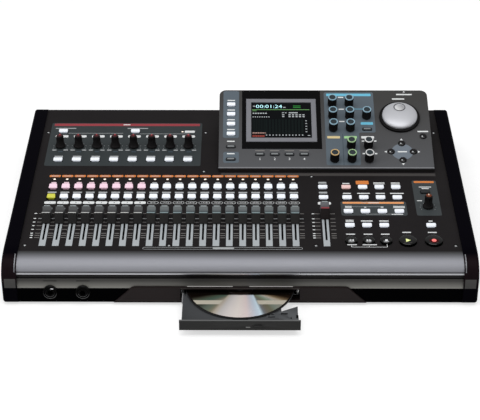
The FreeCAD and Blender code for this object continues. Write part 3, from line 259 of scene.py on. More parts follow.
def barLoop(x, y, width, depth, radius, steps=4):
    w, d = width / 2, depth / 2
    return roundedLoop([(x - w, y - d), (x + w, y - d), (x + w, y + d), (x - w, y + d)],
                       min(radius, w * 0.98, d * 0.98), steps)


def discLoop(x, y, radius, steps=24):
    return [Vector((x + radius * math.cos(2 * math.pi * i / steps),
                    y + radius * math.sin(2 * math.pi * i / steps))) for i in range(steps)]


def meshOf(carrier):  # the evaluated result of an object, as a plain mesh
    bpy.context.view_layer.update()
    graph = bpy.context.evaluated_depsgraph_get()
    return bpy.data.meshes.new_from_object(carrier.evaluated_get(graph), depsgraph=graph)


def thickened(curve, low, high):  # a flat curve or text as a solid between two heights
    curve.extrude = (high - low) / 2
    carrier = addObject("inkCarrier", curve)
    mesh = meshOf(carrier)
    mesh.transform(Matrix.Translation((0, 0, (low + high) / 2)))
    bpy.data.objects.remove(carrier)
    return mesh


def inkMesh(loops, low, high):  # outlines filled and given thickness; a loop inside a loop is a hole
    curve = bpy.data.curves.new("inkCurve", "CURVE")
    curve.dimensions = "2D"
    curve.fill_mode = "BOTH"
    for loop in loops:
        spline = curve.splines.new("POLY")
        spline.points.add(len(loop) - 1)
        for point, place in zip(spline.points, loop):
            point.co = (place.x, place.y, 0, 1)
        spline.use_cyclic_u = True
    return thickened(curve, low, high)


def textMesh(words, size, low, high, swell=0.0):  # plain numbers; swell changes the strokes
    curve = bpy.data.curves.new("numberCurve", "FONT")
    curve.body = words
    curve.offset = swell
    curve.size = size
    curve.align_x = "CENTER"
    curve.align_y = "CENTER"
    curve.resolution_u = 2
    return thickened(curve, low, high)


# Solids, drawn in millimetres

def meshFrom(build):  # runs build on an empty mesh and gives back a tidy one
    work = bmesh.new()
    build(work)
    bmesh.ops.remove_doubles(work, verts=work.verts, dist=1e-4)
    bmesh.ops.recalc_face_normals(work, faces=work.faces)
    mesh = bpy.data.meshes.new("work")
    work.to_mesh(mesh)
    work.free()
    return mesh


def loft(work, rings, closed=True):  # skins a row of rings that have as many points each
    rows = [[work.verts.new(point) for point in ring] for ring in rings]
    count = len(rows[0])
    for low, high in zip(rows, rows[1:]):
        for i in range(count):
            j = (i + 1) % count
            work.faces.new((low[i], low[j], high[j], high[i]))
    if closed:
        work.faces.new(list(reversed(rows[0])))
        work.faces.new(rows[-1])


def spin(work, profile, steps):  # turns (radius, height) points about the upright axis
    rings = []
    for radius, height in profile:
        rings.append([(radius * math.cos(2 * math.pi * i / steps),
                       radius * math.sin(2 * math.pi * i / steps), height) for i in range(steps)])
    loft(work, rings)


def spunMesh(profile, steps=48):
    return meshFrom(lambda work: spin(work, profile, steps))


def curvePoints(start, startPull, endPull, end, steps):  # a smooth curve between two ends
    points = []
    for i in range(steps + 1):
        t = i / steps
        u = 1 - t
        points.append(tuple(u ** 3 * a + 3 * u * u * t * b + 3 * u * t * t * c + t ** 3 * d
                            for a, b, c, d in zip(start, startPull, endPull, end)))
    return points


def mergeMeshes(meshes):  # several meshes as one, each keeping its own material index
    work = bmesh.new()
    for index, mesh in enumerate(meshes):
        first = len(work.faces)
        work.from_mesh(mesh)
        work.faces.ensure_lookup_table()
        for face in work.faces[first:]:
            face.material_index = index
    merged = bpy.data.meshes.new("merged")
    work.to_mesh(merged)
    work.free()
    return merged


def moved(mesh, place):
    copy = mesh.copy()
    copy.transform(place)
    return copy


def joinedAsOne(meshes):  # several meshes as one, all in the first material
    mesh = mergeMeshes(meshes) if len(meshes) > 1 else meshes[0]
    mesh.polygons.foreach_set("material_index", [0] * len(mesh.polygons))
    return mesh


def addPiece(name, mesh, place, materials, body, replaced=(), sharp=35):
    mesh.name = name
    mesh.transform(place)
    which = [min(polygon.material_index, len(materials) - 1) for polygon in mesh.polygons]
    mesh.materials.clear()
    for material in materials:
        mesh.materials.append(material)
    mesh.polygons.foreach_set("material_index", which)
    mesh.shade_smooth()
    mesh.set_sharp_from_angle(angle=math.radians(sharp))
    piece = addObject(name, mesh)
    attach(piece, body)
    if replaced:
        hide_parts(*replaced)
    return piece


# Geometry Nodes: bars on points, an item on points, and ribs round an axis

def geometryTree(name, inputs):
    return newTree("GeometryNodeTree", name, {"Geometry": "Geometry", **inputs}, {"Geometry": "Geometry"})


def joinGeometry(tree, *parts):
    whole = tree.nodes.new("GeometryNodeJoinGeometry")
    for part in parts:
        tree.links.new(part, whole.inputs[0])
    return whole.outputs[0]


def endTree(tree, instances, given, result):  # real, coloured geometry
    real = addNode(tree, "GeometryNodeRealizeInstances", {0: instances})
    colour = addNode(tree, "GeometryNodeSetMaterial", {"Geometry": real[0], "Material": given["Material"]})
    tree.links.new(colour[0], result["Geometry"])
    return tree


def barsTree():  # a rounded bar, or its outline, at every point
    sizes = dict.fromkeys(("Width", "Depth", "Corner", "Thickness", "Line"), "Float")
    tree, given, result = geometryTree("barsOnPoints", {**sizes, "Hollow": "Bool", "Material": "Material"})
    outline = addNode(tree, "GeometryNodeCurvePrimitiveQuadrilateral",
                      {"Width": given["Width"], "Height": given["Depth"]})
    rounded = addNode(tree, "GeometryNodeFilletCurve", {"Curve": outline[0], "Radius": given["Corner"],
                                                        "Count": 3, "Limit Radius": True}, mode="POLY")
    filled = addNode(tree, "GeometryNodeFillCurve", {"Curve": rounded[0]}, mode="NGONS")
    raised = addNode(tree, "GeometryNodeExtrudeMesh", {"Mesh": filled[0], "Individual": False,
                                                       "Offset Scale": given["Thickness"]})
    under = addNode(tree, "GeometryNodeFlipFaces", {0: filled[0]})
    whole = joinGeometry(tree, under[0], raised["Mesh"])
    welded = addNode(tree, "GeometryNodeMergeByDistance", {"Geometry": whole, "Distance": 1e-4})
    section = addNode(tree, "GeometryNodeCurvePrimitiveQuadrilateral",
                      {"Width": given["Line"], "Height": given["Thickness"]})
    line = addNode(tree, "GeometryNodeCurveToMesh", {"Curve": rounded[0], "Profile Curve": section[0]})
    choice = addNode(tree, "GeometryNodeSwitch", {"Switch": given["Hollow"], "False": welded[0],
                                                  "True": line[0]})
    spread = addNode(tree, "GeometryNodeInstanceOnPoints", {"Points": given["Geometry"],
                                                            "Instance": choice[0]})
    return endTree(tree, spread[0], given, result)


def itemsTree():  # a finished item at every point
    tree, given, result = geometryTree("itemsOnPoints", {"Item": "Object", "Material": "Material"})
    item = addNode(tree, "GeometryNodeObjectInfo", {"Object": given["Item"]})
    spread = addNode(tree, "GeometryNodeInstanceOnPoints", {"Points": given["Geometry"],
                                                            "Instance": item["Geometry"]})
    return endTree(tree, spread[0], given, result)


def ribsTree():  # upright ribs round a turned body
    sizes = dict.fromkeys(("Radius", "Low", "High", "Rib"), "Float")
    tree, given, result = geometryTree("ribsRoundBody", {"Count": "Int", **sizes, "Material": "Material"})
    count, low, high, thick = (given[label] for label in ("Count", "Low", "High", "Rib"))
    circle = addNode(tree, "GeometryNodeMeshCircle", {"Vertices": count, "Radius": given["Radius"]})
    tall = addMath(tree, "SUBTRACT", high, low)
    size = addNode(tree, "ShaderNodeCombineXYZ", {"X": thick, "Y": thick, "Z": tall})
    rib = addNode(tree, "GeometryNodeMeshCube", {"Size": size[0]})
    index = addNode(tree, "GeometryNodeInputIndex")[0]
    turn = addMath(tree, "DIVIDE", addMath(tree, "MULTIPLY", index, 2 * math.pi), count)
    facing = addNode(tree, "ShaderNodeCombineXYZ", {"Z": addMath(tree, "ADD", turn, math.pi / 4)})
    turned = addNode(tree, "FunctionNodeEulerToRotation", {0: facing[0]})
    spread = addNode(tree, "GeometryNodeInstanceOnPoints", {"Points": circle[0], "Instance": rib["Mesh"],
                                                            "Rotation": turned[0]})
    middle = addMath(tree, "MULTIPLY", addMath(tree, "ADD", high, low), 0.5)
    lift = addNode(tree, "ShaderNodeCombineXYZ", {"Z": middle})
    lifted = addNode(tree, "GeometryNodeTransform", {"Geometry": spread[0], "Translation": lift[0]})
    return endTree(tree, joinGeometry(tree, given["Geometry"], lifted[0]), given, result)


barsOnPoints = barsTree()
itemsOnPoints = itemsTree()
ribsRoundBody = ribsTree()


def runTree(tree, mesh, values):  # sets the named inputs by their identifiers and gives the plain mesh
    carrier = addObject("treeCarrier", mesh)
    modifier = carrier.modifiers.new("tree", "NODES")
    modifier.node_group = tree
    for item in tree.interface.items_tree:
        if item.item_type == "SOCKET" and item.in_out == "INPUT" and item.name in values:
            modifier[item.identifier] = values[item.name]
    made = meshOf(carrier)
    carrier.modifiers.remove(modifier)
    bpy.data.objects.remove(carrier)
    return made


def pointMesh(spots, height=0.0):
    mesh = bpy.data.meshes.new("spots")
    mesh.from_pydata([(spot[0], spot[1], height) for spot in spots], [], [])
    return mesh


def barsMesh(spots, size, material, lift=0.02):  # size is width, depth, corner, thickness and a line or 0
    width, depth, corner, thickness, line = size
    values = {"Width": float(width), "Depth": float(depth), "Corner": float(corner),
              "Thickness": float(thickness), "Line": float(line), "Hollow": line > 0, "Material": material}
    height = lift + (thickness / 2 if line > 0 else 0)
    return runTree(barsOnPoints, pointMesh(spots, height), values)


def itemsMesh(spots, item, material):
    holder = addObject("itemHolder", item)
    made = runTree(itemsOnPoints, pointMesh(spots), {"Item": holder, "Material": material})
    bpy.data.objects.remove(holder)
    return made


def solidCentres(node, place):  # the middle of each separate solid of a node, in a panel's flat frame
    work = bmesh.new()
    work.from_mesh(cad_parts[node].data)
    bmesh.ops.remove_doubles(work, verts=work.verts, dist=1e-6)
    work.transform(place.inverted())
    found, centres = set(), []
    for seed in work.verts:
        if seed in found:
            continue
        group, edge = [], [seed]
        found.add(seed)
        while edge:
            vertex = edge.pop()
            group.append(vertex.co)
            for link in vertex.link_edges:
                other = link.other_vert(vertex)
                if other not in found:
                    found.add(other)
                    edge.append(other)
        spans = [(min(co[a] for co in group), max(co[a] for co in group)) for a in range(3)]
        centres.append(Vector([(low + high) / 2 for low, high in spans]))
    work.free()
    return sorted(centres, key=lambda c: (round(c.x, 1), round(c.y, 1)))


def dress(node, material):  # gives a carried-over node its finish
    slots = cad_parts[node].material_slots
    for slot in slots:
        slot.material = material
    if not slots:
        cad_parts[node].data.materials.append(material)


# Case

caseLook = {
    "panel": tint("1b1819 201d1e", 0.5, 0.62, shine=0.1, grain=3200, relief=0.03, cloud=18),
    "pod": tint("3f3e3d 434241", 0.4, 0.5, shine=0.2, grain=3000, relief=0.02),
    "palm": tint("5a5b60 606166", 0.4, 0.48, metal=0.3, brushed=40, relief=0.008, depth=0.2, shine=0.3),
    "cheek": tint("040308 06050b", 0.2, 0.3, shine=0.01, relief=0.004, depth=0.1),
    "pan": tint("141414 1a1a1b", 0.5, 0.6, shine=0.3, grain=2200, relief=0.05),
    "back": tint("161617 1c1c1e", 0.4, 0.52, shine=0.35, grain=2600, relief=0.04),
    "rubber": tint("111111 191919", 0.75, 0.85, shine=0.2, grain=1600, relief=0.08),
    "pane": tint("040405 060607", 0.1, 0.18, shine=0.1, relief=0.002, depth=0.05),
    "bezel": tint("7c7d84 838489", 0.4, 0.5, shine=0.3, grain=2800, relief=0.02),
    "board": tint("12402a 1a5236", 0.4, 0.5, grain=900, relief=0.05),
    "steel": tint("8f9194 a0a2a5", 0.3, 0.42, metal=0.9, brushed=30, relief=0.01),
    "control": tint("060506 0a0809", 0.4, 0.5, shine=0.15, grain=2400, relief=0.03),
    "socket": tint("09090a 111112", 0.25, 0.35, shine=0.35, grain=2400, relief=0.03),
    "tray": tint("555759 5b5d60", 0.45, 0.58, shine=0.25, grain=2600, relief=0.04),
}


def dressCase():
    made = {name: finish(name + "Finish", look) for name, look in caseLook.items()}
    for node, name in (("bottom_case", "pan"), ("top_panel", "panel"), ("display_pod", "pod"),
                       ("left_end_cheek", "cheek"), ("right_end_cheek", "cheek"), ("rear_panel", "back"),
                       ("display_window", "pane"), ("display_module", "bezel"), ("control_board", "board"),
                       ("main_board", "board"), ("hard_drive", "steel"), ("rotary_controls", "control"),
                       ("sockets", "socket"), ("optical_drive", "steel"), ("rubber_feet", "rubber"),
                       ("disc_tray", "tray"), ("eject_button", "tray"), ("power_switch", "socket")):
        dress(node, made[name])
    return made


caseFinish = dressCase()
cheekBand = [(flatPlace, 2, 22.2, 33.4), (flatPlace, 1, -200, -162)]
caseTonesAndPaintedLight = (  # a finish, its zones or one fade along an axis, the softness of the zones, and the colour; some rows are painted light
    # cheek noses: a brownish painted sheen on the curved front
    ("cheek", [(flatPlace, 2, 30, 49), (flatPlace, 1, -200, -150)], 4, "1c1417"),
    ("cheek", cheekBand + [(flatPlace, 0, -253.8, -241.8)], 0.2, "575655"),
    ("cheek", cheekBand + [(flatPlace, 0, 241.8, 253.8)], 0.2, "575655"),
    ("pod", (podPlace, 1, 110, 5), None, "56575a"),
    # pod: a pale line along the front top edge, a painted highlight
    ("pod", [(podPlace, 1, 0.3, 1.3), (podPlace, 2, -1.2, 1)], 0.2, "8a8b8f"),
    ("pod", (podPlace, 1, 126.4, 127.0), None, "161515"),
    ("pod", (podPlace, 2, -0.9, -1.3), None, "1d1b1b"),
    # panel: a lighter band just in front of the pod, a painted reflection of the pod's front
    ("panel", [(panelPlace, 1, 12.6, 16.6), (panelPlace, 0, -22, 226)], 1.8, "4a4746"),
)
for finishName, zones, soft, colour in caseTonesAndPaintedLight:
    material = caseFinish[finishName]
    twoTone(material, zoneMask(material, zones, soft) if soft else placeMask(material, *zones), colour)

# Inside the slots the plates are painted near black: painted shade in the slots.
slotPlateLook = tint("b4babe bec4c8", 0.4, 0.5, metal=0.2, brushed=20, relief=0.01, inside="050505",
                     insideDepth=0.5)
slotPlateFinish = finish("slotPlateFinish", slotPlateLook)
twoTone(slotPlateFinish, placeMask(slotPlateFinish, panelPlace, 2, -0.2, -slotPlateLook["insideDepth"]),
        slotPlateLook["inside"])
dress("slide_potentiometers", slotPlateFinish)
print("case dressed")

# Palm rest: one curved sheet from the panel's front edge down to the bright strip, its colour a ramp of painted
# shading and painted reflection

palmRest = {"sheet": 2.2, "steps": 18, "panelPull": 13.4, "panelDrop": 0.6, "lipPull": 6.9, "foot": 0.9,
            "edgeHighlight": (1.3, 2.4), "edgeHighlightProud": 2.2, "paintedShadingRange": (-64.1, -88.7),
            "paintedShading": ((0.0, "29292b"), (0.07, "444446"), (0.13, "57585b"), (0.18, "646569"), (0.28, "7b7c82"),
                      (0.38, "8e8f95"), (0.48, "96979e"), (0.58, "93949b"), (0.67, "929399"),
                      (0.76, "96979e"), (0.84, "9fa0a7"), (0.9, "9fa0a7"), (0.96, "97989e"), (1.0, "808187"))}


def profileMesh(profile, x0, x1):  # a closed (y, z) outline drawn out along X
    return meshFrom(lambda work: loft(work, [[(x, y, z) for y, z in profile] for x in (x0, x1)]))


def bandOutline(points, middle, outward, inward):  # a closed outline of even thickness along a curve
    rows = []
    for reach, order in ((outward, 1), (-inward, -1)):
        for point in points[::order]:
            spot = Vector(point) + (Vector(point) - middle).normalized() * reach
            rows.append((spot.x, spot.y))
    return rows


def addPalmRest():
    low, high = boxOf("palm_rest")
    start, end = (high.y, high.z), (low.y, low.z)
    top = curvePoints(start, (start[0] - palmRest["panelPull"], start[1] - palmRest["panelDrop"]),
                      (end[0], end[1] + palmRest["lipPull"]), (end[0], end[1] + palmRest["foot"]),
                      palmRest["steps"])
    middle = Vector((high.y, low.z))
    palm = caseFinish["palm"]
    lean = flatPlace @ Matrix.Rotation(math.pi / 4, 4, "X")
    # painted shading: dark by the panel and lightest across the roll, where it stands for the lamps' reflection
    paintedShading = rampColour(palm, placeMask(palm, lean, 1, *palmRest["paintedShadingRange"]), palmRest["paintedShading"])
    palm.node_tree.links.new(paintedShading, palm.node_tree.nodes["Principled BSDF"].inputs["Base Color"])
    addPiece("palmRest", profileMesh(bandOutline(top, middle, 0, palmRest["sheet"]), low.x, high.x),
             flatPlace, [palm], "case", ["palm_rest"])
    # pale strips along the cheeks' inner edges stand for the highlight on those edges: a painted highlight
    outline = bandOutline(top[3:], middle, palmRest["edgeHighlightProud"], -0.2)
    near, far = palmRest["edgeHighlight"]
    trims = [profileMesh(outline, *ends) for ends in ((low.x - far, low.x - near),
                                                      (high.x + near, high.x + far))]
    edgeHighlight = finish("palmEdgeHighlightFinish", tint("7c7d82 88898e", 0.3, 0.4, metal=0.4))
    addPiece("palmTrims", mergeMeshes(trims), flatPlace, [edgeHighlight], "case")


addPalmRest()

# Front: bright strip, groove painted near black as shade, satin band, glossy skirt and the plate round the drive

fasciaSize = {"stripRise": 0.3, "stripHeight": 2.4, "stripProud": 1.4, "stripBack": 2, "bevel": 0.5,
              "groove": 5.3, "grooveSlope": 0.4, "grooveBack": 3, "bandTop": 29, "bandBottom": 20.2,
              "bulge": 3.6, "faceStart": 0.6, "seamStep": 0.05, "wall": 2.6, "steps": 12, "jackHole": 8.1,
              "jackNote": (28.2, 28.9), "noteReach": (6.5, 7.5), "noteSoft": 0.5, "surroundTop": 22.6,
              "surroundBottom": 3.2, "halfTop": 116.4, "halfBottom": 137.0, "corner": 9.0, "cutReach": (6, 8),
              "plateBack": 2.8, "plateShrink": -0.15, "mouthGap": 0.6, "mouthReach": (5, 9),
              "glints": ((-57.0, -8.0), (10.0, 57.0)), "glintY": (2.4, 3.3), "glintZ": (-0.2, 0.1),
              "hook": (61.2, -170.5, 17.2), "hookWidth": 2.0, "hookLine": 0.6, "hookHeight": 3.2,
              "edgeY": (-0.08, 0.3), "edgeZ": (-1.0, -0.5)}
fasciaLook = {
    "strip": tint("a8a9ad b2b3b7", 0.22, 0.3, metal=0.9, brushed=60, relief=0.006),
    # the groove's near-black colour is painted shade
    "groove": tint("0e0b0c 130f10", 0.35, 0.45, shine=0.15),
    "band": tint("3a3937 403f3d", 0.32, 0.4, metal=0.6, brushed=50, relief=0.006, low="82817c",
                 note="242321"),
    "skirt": tint("010102 030304", 0.15, 0.25, shine=0.005, relief=0.004),
    "surround": tint("211b1b 272020", 0.35, 0.45, shine=0.12, grain=2800),
    "glint": tint("c9c9c7 d8d8d6", 0.2, 0.3),
    # edge: a thin lighter line under the top of the mouth, a painted highlight on its lower lip
    "edge": tint("4c4a47 56534f", 0.3, 0.4, shine=0.2),
}


def faceCurve(share, top):  # (y, z) on the curved front, from the groove down to the lower edge
    lip, bottom = boxOf("palm_rest")[0].y, boxOf("front_fascia")[0].z
    return (lip - fasciaSize["faceStart"] - fasciaSize["bulge"] * math.sin(share * math.pi / 2),
            top + (bottom - top) * share)


# On the jacks the grey rings are painted reflections on rounded edges, painted dark on their upper halves, and the
# pale glowing box on the left jack is a painted highlight.
jackRing = {
    "face": ((3.4, 0.1), (7.9, 0.1), (7.9, -2.5), (3.4, -2.5)),
    "rings": ((6.9, 0.35), (4.7, 0.3)),
    "ringDepth": (0.1, 0.3),
    "steps": 48,
    "paintedShading": (-3.5, 0.5),
    "paintedShadingColour": "060606",
    "highlightX": (1.0, 3.9),
    "highlightY": (-0.4, -0.1),
    "highlightZ": (5.0, 6.2),
    "Face": tint("010101 020202", 0.3, 0.4, shine=0.01),
    "Rings": tint("6c6c6d 767677", 0.3, 0.4, shine=0.1),
    "Light": tint("e4e4e6 ececee", 0.2, 0.3, glow=0.1),
}


def loftRing(work, section, steps):  # a closed section carried round the upright axis
    rings = []
    for i in range(steps):
        angle = 2 * math.pi * i / steps
        rings.append([(r * math.cos(angle), r * math.sin(angle), z) for r, z in section])
    loft(work, rings + rings[:1], False)


def spanBox(x, y, z, origin=(0, 0, 0)):  # a box from its spans along X, Y and Z, seen from a point
    return boxMesh(*([span[end] + start for span, start in zip((x, y, z), origin)] for end in (0, 1)))


def addFascia():
    size = fasciaSize
    low, high = boxOf("front_fascia")
    lip = boxOf("palm_rest")[0].y
    made = {name: finish(name + "Finish", values) for name, values in fasciaLook.items()}

    def addFront(name, mesh, material, replaced=()):
        addPiece(name, mesh, flatPlace, [material], "case", replaced)

    stripTop = high.z + size["stripRise"]
    stripLow = stripTop - size["stripHeight"]
    grooveLow = stripLow - size["groove"]
    face, back, bevel = lip - size["stripProud"], lip + size["stripBack"], size["bevel"]
    outline = [(back, stripLow), (face + bevel, stripLow), (face, stripLow + bevel), (face, stripTop - bevel),
               (face + bevel, stripTop), (back, stripTop)]
    addFront("fasciaStrip", profileMesh(outline, low.x, high.x), made["strip"], ["front_fascia"])
    slope, back = lip + size["grooveSlope"], lip + size["grooveBack"]
    outline = [(lip, stripLow), (slope, grooveLow), (back, grooveLow), (back, stripLow)]
    addFront("fasciaGroove", profileMesh(outline, low.x, high.x), made["groove"])
    curve = [faceCurve(i / size["steps"], grooveLow) for i in range(size["steps"] + 1)]
    split, back = size["bandBottom"], lip + size["wall"]
    upper = [(slope, grooveLow)] + [p for p in curve if p[1] > split]
    lower = [p for p in curve if p[1] <= split]
    share = (upper[-1][1] - split) / (upper[-1][1] - lower[0][1])
    seam = upper[-1][0] + (lower[0][0] - upper[-1][0]) * share
    band = upper + [(seam, split), (back, split), (back, grooveLow)]
    skirt = [(seam - size["seamStep"], split)] + lower + [(back, lower[-1][1]), (back, split)]
    holes = [c for c in solidCentres("sockets", flatPlace) if c.y < 0]
    twoTone(made["band"], placeMask(made["band"], flatPlace, 2, size["bandTop"], split),
            fasciaLook["band"]["low"])
    near, far = size["noteReach"]
    for hole in holes:
        zone = [(flatPlace, 2, *size["jackNote"]), (flatPlace, 0, hole.x - near, hole.x + far)]
        twoTone(made["band"], zoneMask(made["band"], zone, size["noteSoft"]), fasciaLook["band"]["note"])
    near, far = size["cutReach"]
    for name, outline, key in (("fasciaBand", band, "band"), ("fasciaSkirt", skirt, "skirt")):
        cutters = [jackCutter(c) for c in holes] + [surroundMesh(low.y - near, lip + far, 0.0)]
        addFront(name, carved(profileMesh(outline, low.x, high.x), cutters), made[key])
    trayLow, trayHigh = boxOf("disc_tray")
    driveLow, driveHigh = boxOf("optical_drive")
    gap, (near, far) = size["mouthGap"], size["mouthReach"]
    mouth = boxMesh((trayLow.x - gap, low.y - near, driveLow.z - gap),
                    (trayHigh.x + gap, lip + far, driveHigh.z + gap))
    plate = surroundMesh(low.y, lip + size["plateBack"], size["plateShrink"])
    addFront("driveSurround", carved(plate, [mouth]), made["surround"])
    mouthTop = (0, low.y, size["surroundTop"])
    width, line = size["hookWidth"], size["hookLine"]
    glints = [spanBox(span, size["glintY"], size["glintZ"], mouthTop) for span in size["glints"]]
    glints += [spanBox((0, width), (0, line), (0, line), size["hook"]),
               spanBox((width - line, width), (0, line), (line, size["hookHeight"]), size["hook"])]
    addFront("mouthGlints", mergeMeshes(glints), made["glint"])
    addFront("mouthEdge", spanBox((trayLow.x, trayHigh.x), size["edgeY"], size["edgeZ"], mouthTop),
             made["edge"])
    addJacks(holes, addFront)


def addJacks(holes, addFront):
    turn = Matrix.Rotation(math.pi / 2, 4, "X")
    front = boxOf("sockets")[0].y
    near, far = jackRing["ringDepth"]
    sections = {"Face": [jackRing["face"]], "Rings": [[(r, near), (r + w, near), (r + w, far),
                                                       (r, far)] for r, w in jackRing["rings"]]}
    for name, rows in sections.items():
        material = finish("jack" + name + "Finish", jackRing[name])
        if name == "Rings":
            low, high = (holes[0].z + edge for edge in jackRing["paintedShading"])
            twoTone(material, placeMask(material, flatPlace, 2, low, high), jackRing["paintedShadingColour"])
        meshes = [moved(meshFrom(lambda work: loftRing(work, section, jackRing["steps"])),
                        Matrix.Translation((c.x, front, c.z)) @ turn) for c in holes for section in rows]
        addFront("jack" + name, joinedAsOne(meshes), material)
    left = min(holes, key=lambda c: c.x)
    light = spanBox(jackRing["highlightX"], jackRing["highlightY"], jackRing["highlightZ"], (left.x, front, left.z))
    addFront("jackLight", light, finish("jackHighlightFinish", jackRing["Light"]))


def boxMesh(low, high):
    corners = [(low[0], low[1]), (high[0], low[1]), (high[0], high[1]), (low[0], high[1])]
    return meshFrom(lambda work: loft(work, [[(x, y, z) for x, y in corners] for z in (low[2], high[2])]))


def jackCutter(centre):
    mesh = spunMesh([(fasciaSize["jackHole"], -20), (fasciaSize["jackHole"], 20)], 40)
    return moved(mesh, Matrix.Translation(centre) @ Matrix.Rotation(math.pi / 2, 4, "X"))


def surroundMesh(front, back, grow):  # the trapezoid plate, its upper corners rounded
    top, bottom = fasciaSize["surroundTop"] + grow, fasciaSize["surroundBottom"]
    wide, narrow = fasciaSize["halfBottom"] + grow, fasciaSize["halfTop"] + grow
    upper = roundedLoop([(-wide, bottom), (wide, bottom), (narrow, top), (-narrow, top)],
                        fasciaSize["corner"], 6)
    flatFoot = [(-wide, bottom), (wide, bottom)]
    loop = flatFoot + [tuple(p) for p in upper[14:]]
    return meshFrom(lambda work: loft(work, [[(x, y, z) for x, z in loop] for y in (front, back)]))


def carved(mesh, cutters):  # the mesh with every cutter taken out of it
    body = addObject("carvedBody", mesh)
    tools = [addObject("cutter", cutter) for cutter in cutters]
    for tool in tools:
        cut = body.modifiers.new("cut", "BOOLEAN")
        cut.operation = "DIFFERENCE"
        cut.solver = "EXACT"
        cut.object = tool
    made = meshOf(body)
    for extra in tools + [body]:
        bpy.data.objects.remove(extra)
    return made


addFascia()
print("front made")

# Printing on the top panel

inkLook = {
    "field": tint("32383a 363c3e", 0.45, 0.55, shine=0.2),
    "locate": tint("3c4143 404547", 0.45, 0.55, shine=0.2),
    "red": tint("9a3a42 a23f48", 0.4, 0.5, shine=0.2),
    "orange": tint("dc7e3c e68e4c", 0.4, 0.5, shine=0.2),
    "white": tint("e6e9ea f0f2f2", 0.4, 0.5),
    "pale": tint("a9adaf b4b7b9", 0.4, 0.5),
    "dim": tint("807d7b 8a8785", 0.45, 0.55, shine=0.2),
    "dark": tint("17181a 1e1f21", 0.4, 0.5),
    "amber": tint("fff4e8 fff8f0", 0.2, 0.3, glow=0.7, glowColour="ffe8d0"),
    "keyGrey": tint("84888a 8e9294", 0.4, 0.5, shine=0.2),
    "podField": tint("5c6770 616c75", 0.45, 0.55, shine=0.2),
    "cyan": tint("6cc2e0 78cae6", 0.4, 0.5, shine=0.2),
    "tan": tint("e2cc94 e8d4a4", 0.4, 0.5, shine=0.2),
    "green": tint("a6da98 b0e0a4", 0.4, 0.5, shine=0.2),
    # peach and blush glow a little though they are print: painted light
    "peach": tint("e89a5c eea46a", 0.4, 0.5, glow=0.08),
    "blush": tint("e6c6d2 ecd0da", 0.4, 0.5, glow=0.05),
    "cursor": tint("727b85 78818b", 0.45, 0.55, shine=0.2),
    "podLine": tint("3f4a53 46515a", 0.45, 0.55, shine=0.2),
}
ink = {name: finish(name + "Ink", look) for name, look in inkLook.items()}
inkThickness = {"field": 0.05, "mark": 0.06, "lift": 0.01}


def printOn(name, meshes, place, colour, body="case", slotName=None):
    slotName = slotName or ("pod_grey" if place is podPlace else "panel_black")
    addPiece(name, joinedAsOne(meshes), place, [ink[colour]], body)


def marks(loops, over=0):  # a printed layer; over lifts it onto the layer below
    low = inkThickness["lift"] + over * inkThickness["field"]
    return inkMesh(loops, low, low + inkThickness["mark"])


def bars(spots, width, depth, corner=0.3, line=0.0, over=0):
    low = inkThickness["lift"] + over * inkThickness["field"]
    return barsMesh(spots, (width, depth, corner, inkThickness["mark"], line), None, low)


def row(xs, y, width, depth, corner=0.3, line=0.0, over=0):  # bars side by side
    return bars([(x, y) for x in xs], width, depth, corner, line, over)


def barList(rows, over=0):  # single bars, each given by x, y, width and depth
    return [bars([(x, y)], width, depth, over=over) for x, y, width, depth in rows]


def fieldLoop(x0, x1, y0, y1, corner):
    return barLoop((x0 + x1) / 2, (y0 + y1) / 2, x1 - x0, y1 - y0, corner)


def fieldMesh(loops):
    return inkMesh(loops, inkThickness["lift"], inkThickness["lift"] + inkThickness["field"])


def strip(left, right, y, depth, corner=0.8):  # a printed strip over a field
    return marks([barLoop((left + right) / 2, y, right - left, depth, corner)], 1)


def fanSpots(centre, reach, first, step, count):  # places on an arc round a knob, clockwise, in degrees
    angles = [math.radians(first - step * i) for i in range(count)]
    return [(centre.x + reach * math.cos(a), centre.y + reach * math.sin(a)) for a in angles]


channelMarks = {"mono": 8, "strips": (10.5, 13.0, 4.4, 1.4), "stripDash": (10.5, 8.6, 1.3),
                "pills": (-46.1, 13.0, 5.4, 1.6), "pillRings": (-46.1, 12.4, 4.6, 2.2, 0.4),
                "armLabels": (-4.1, 5.8, 3.0, 0.5), "wings": (-24.6, 10.0, 2.8), "arms": (-4.1, 5.4, 2.6),
                "masterWings": (-3.4, -24.5), "masterWing": (9.4, 3.6, 0.4), "masterShift": 0.6,
                "masterPill": (-46.8, 14.8, 5.4, 1.6), "unity": (-78.6, 4.6, 1.2),
                "ticks": (-68.4, -85.8, -93.0, -100.3, -107.8, -112.0, -116.2), "tickSize": (5.6, 0.9, 0.2),
                "scale": (-229.6, 81.4), "scaleSize": (2.8, 1.5), "masterReach": 8.6,
                "bracket": (-19.1, -136.5, 173.4, 3.6, 1.7, 0.5),
                "bracketDash": (-18.2, -136.3, 23.0, 2.8, 0.4), "number": (3.9, 0.08, 0.12),
                "pair": (3.2, 0.02, 0.08), "lamps": (3.6, 2.9, 2.5, 1.2)}


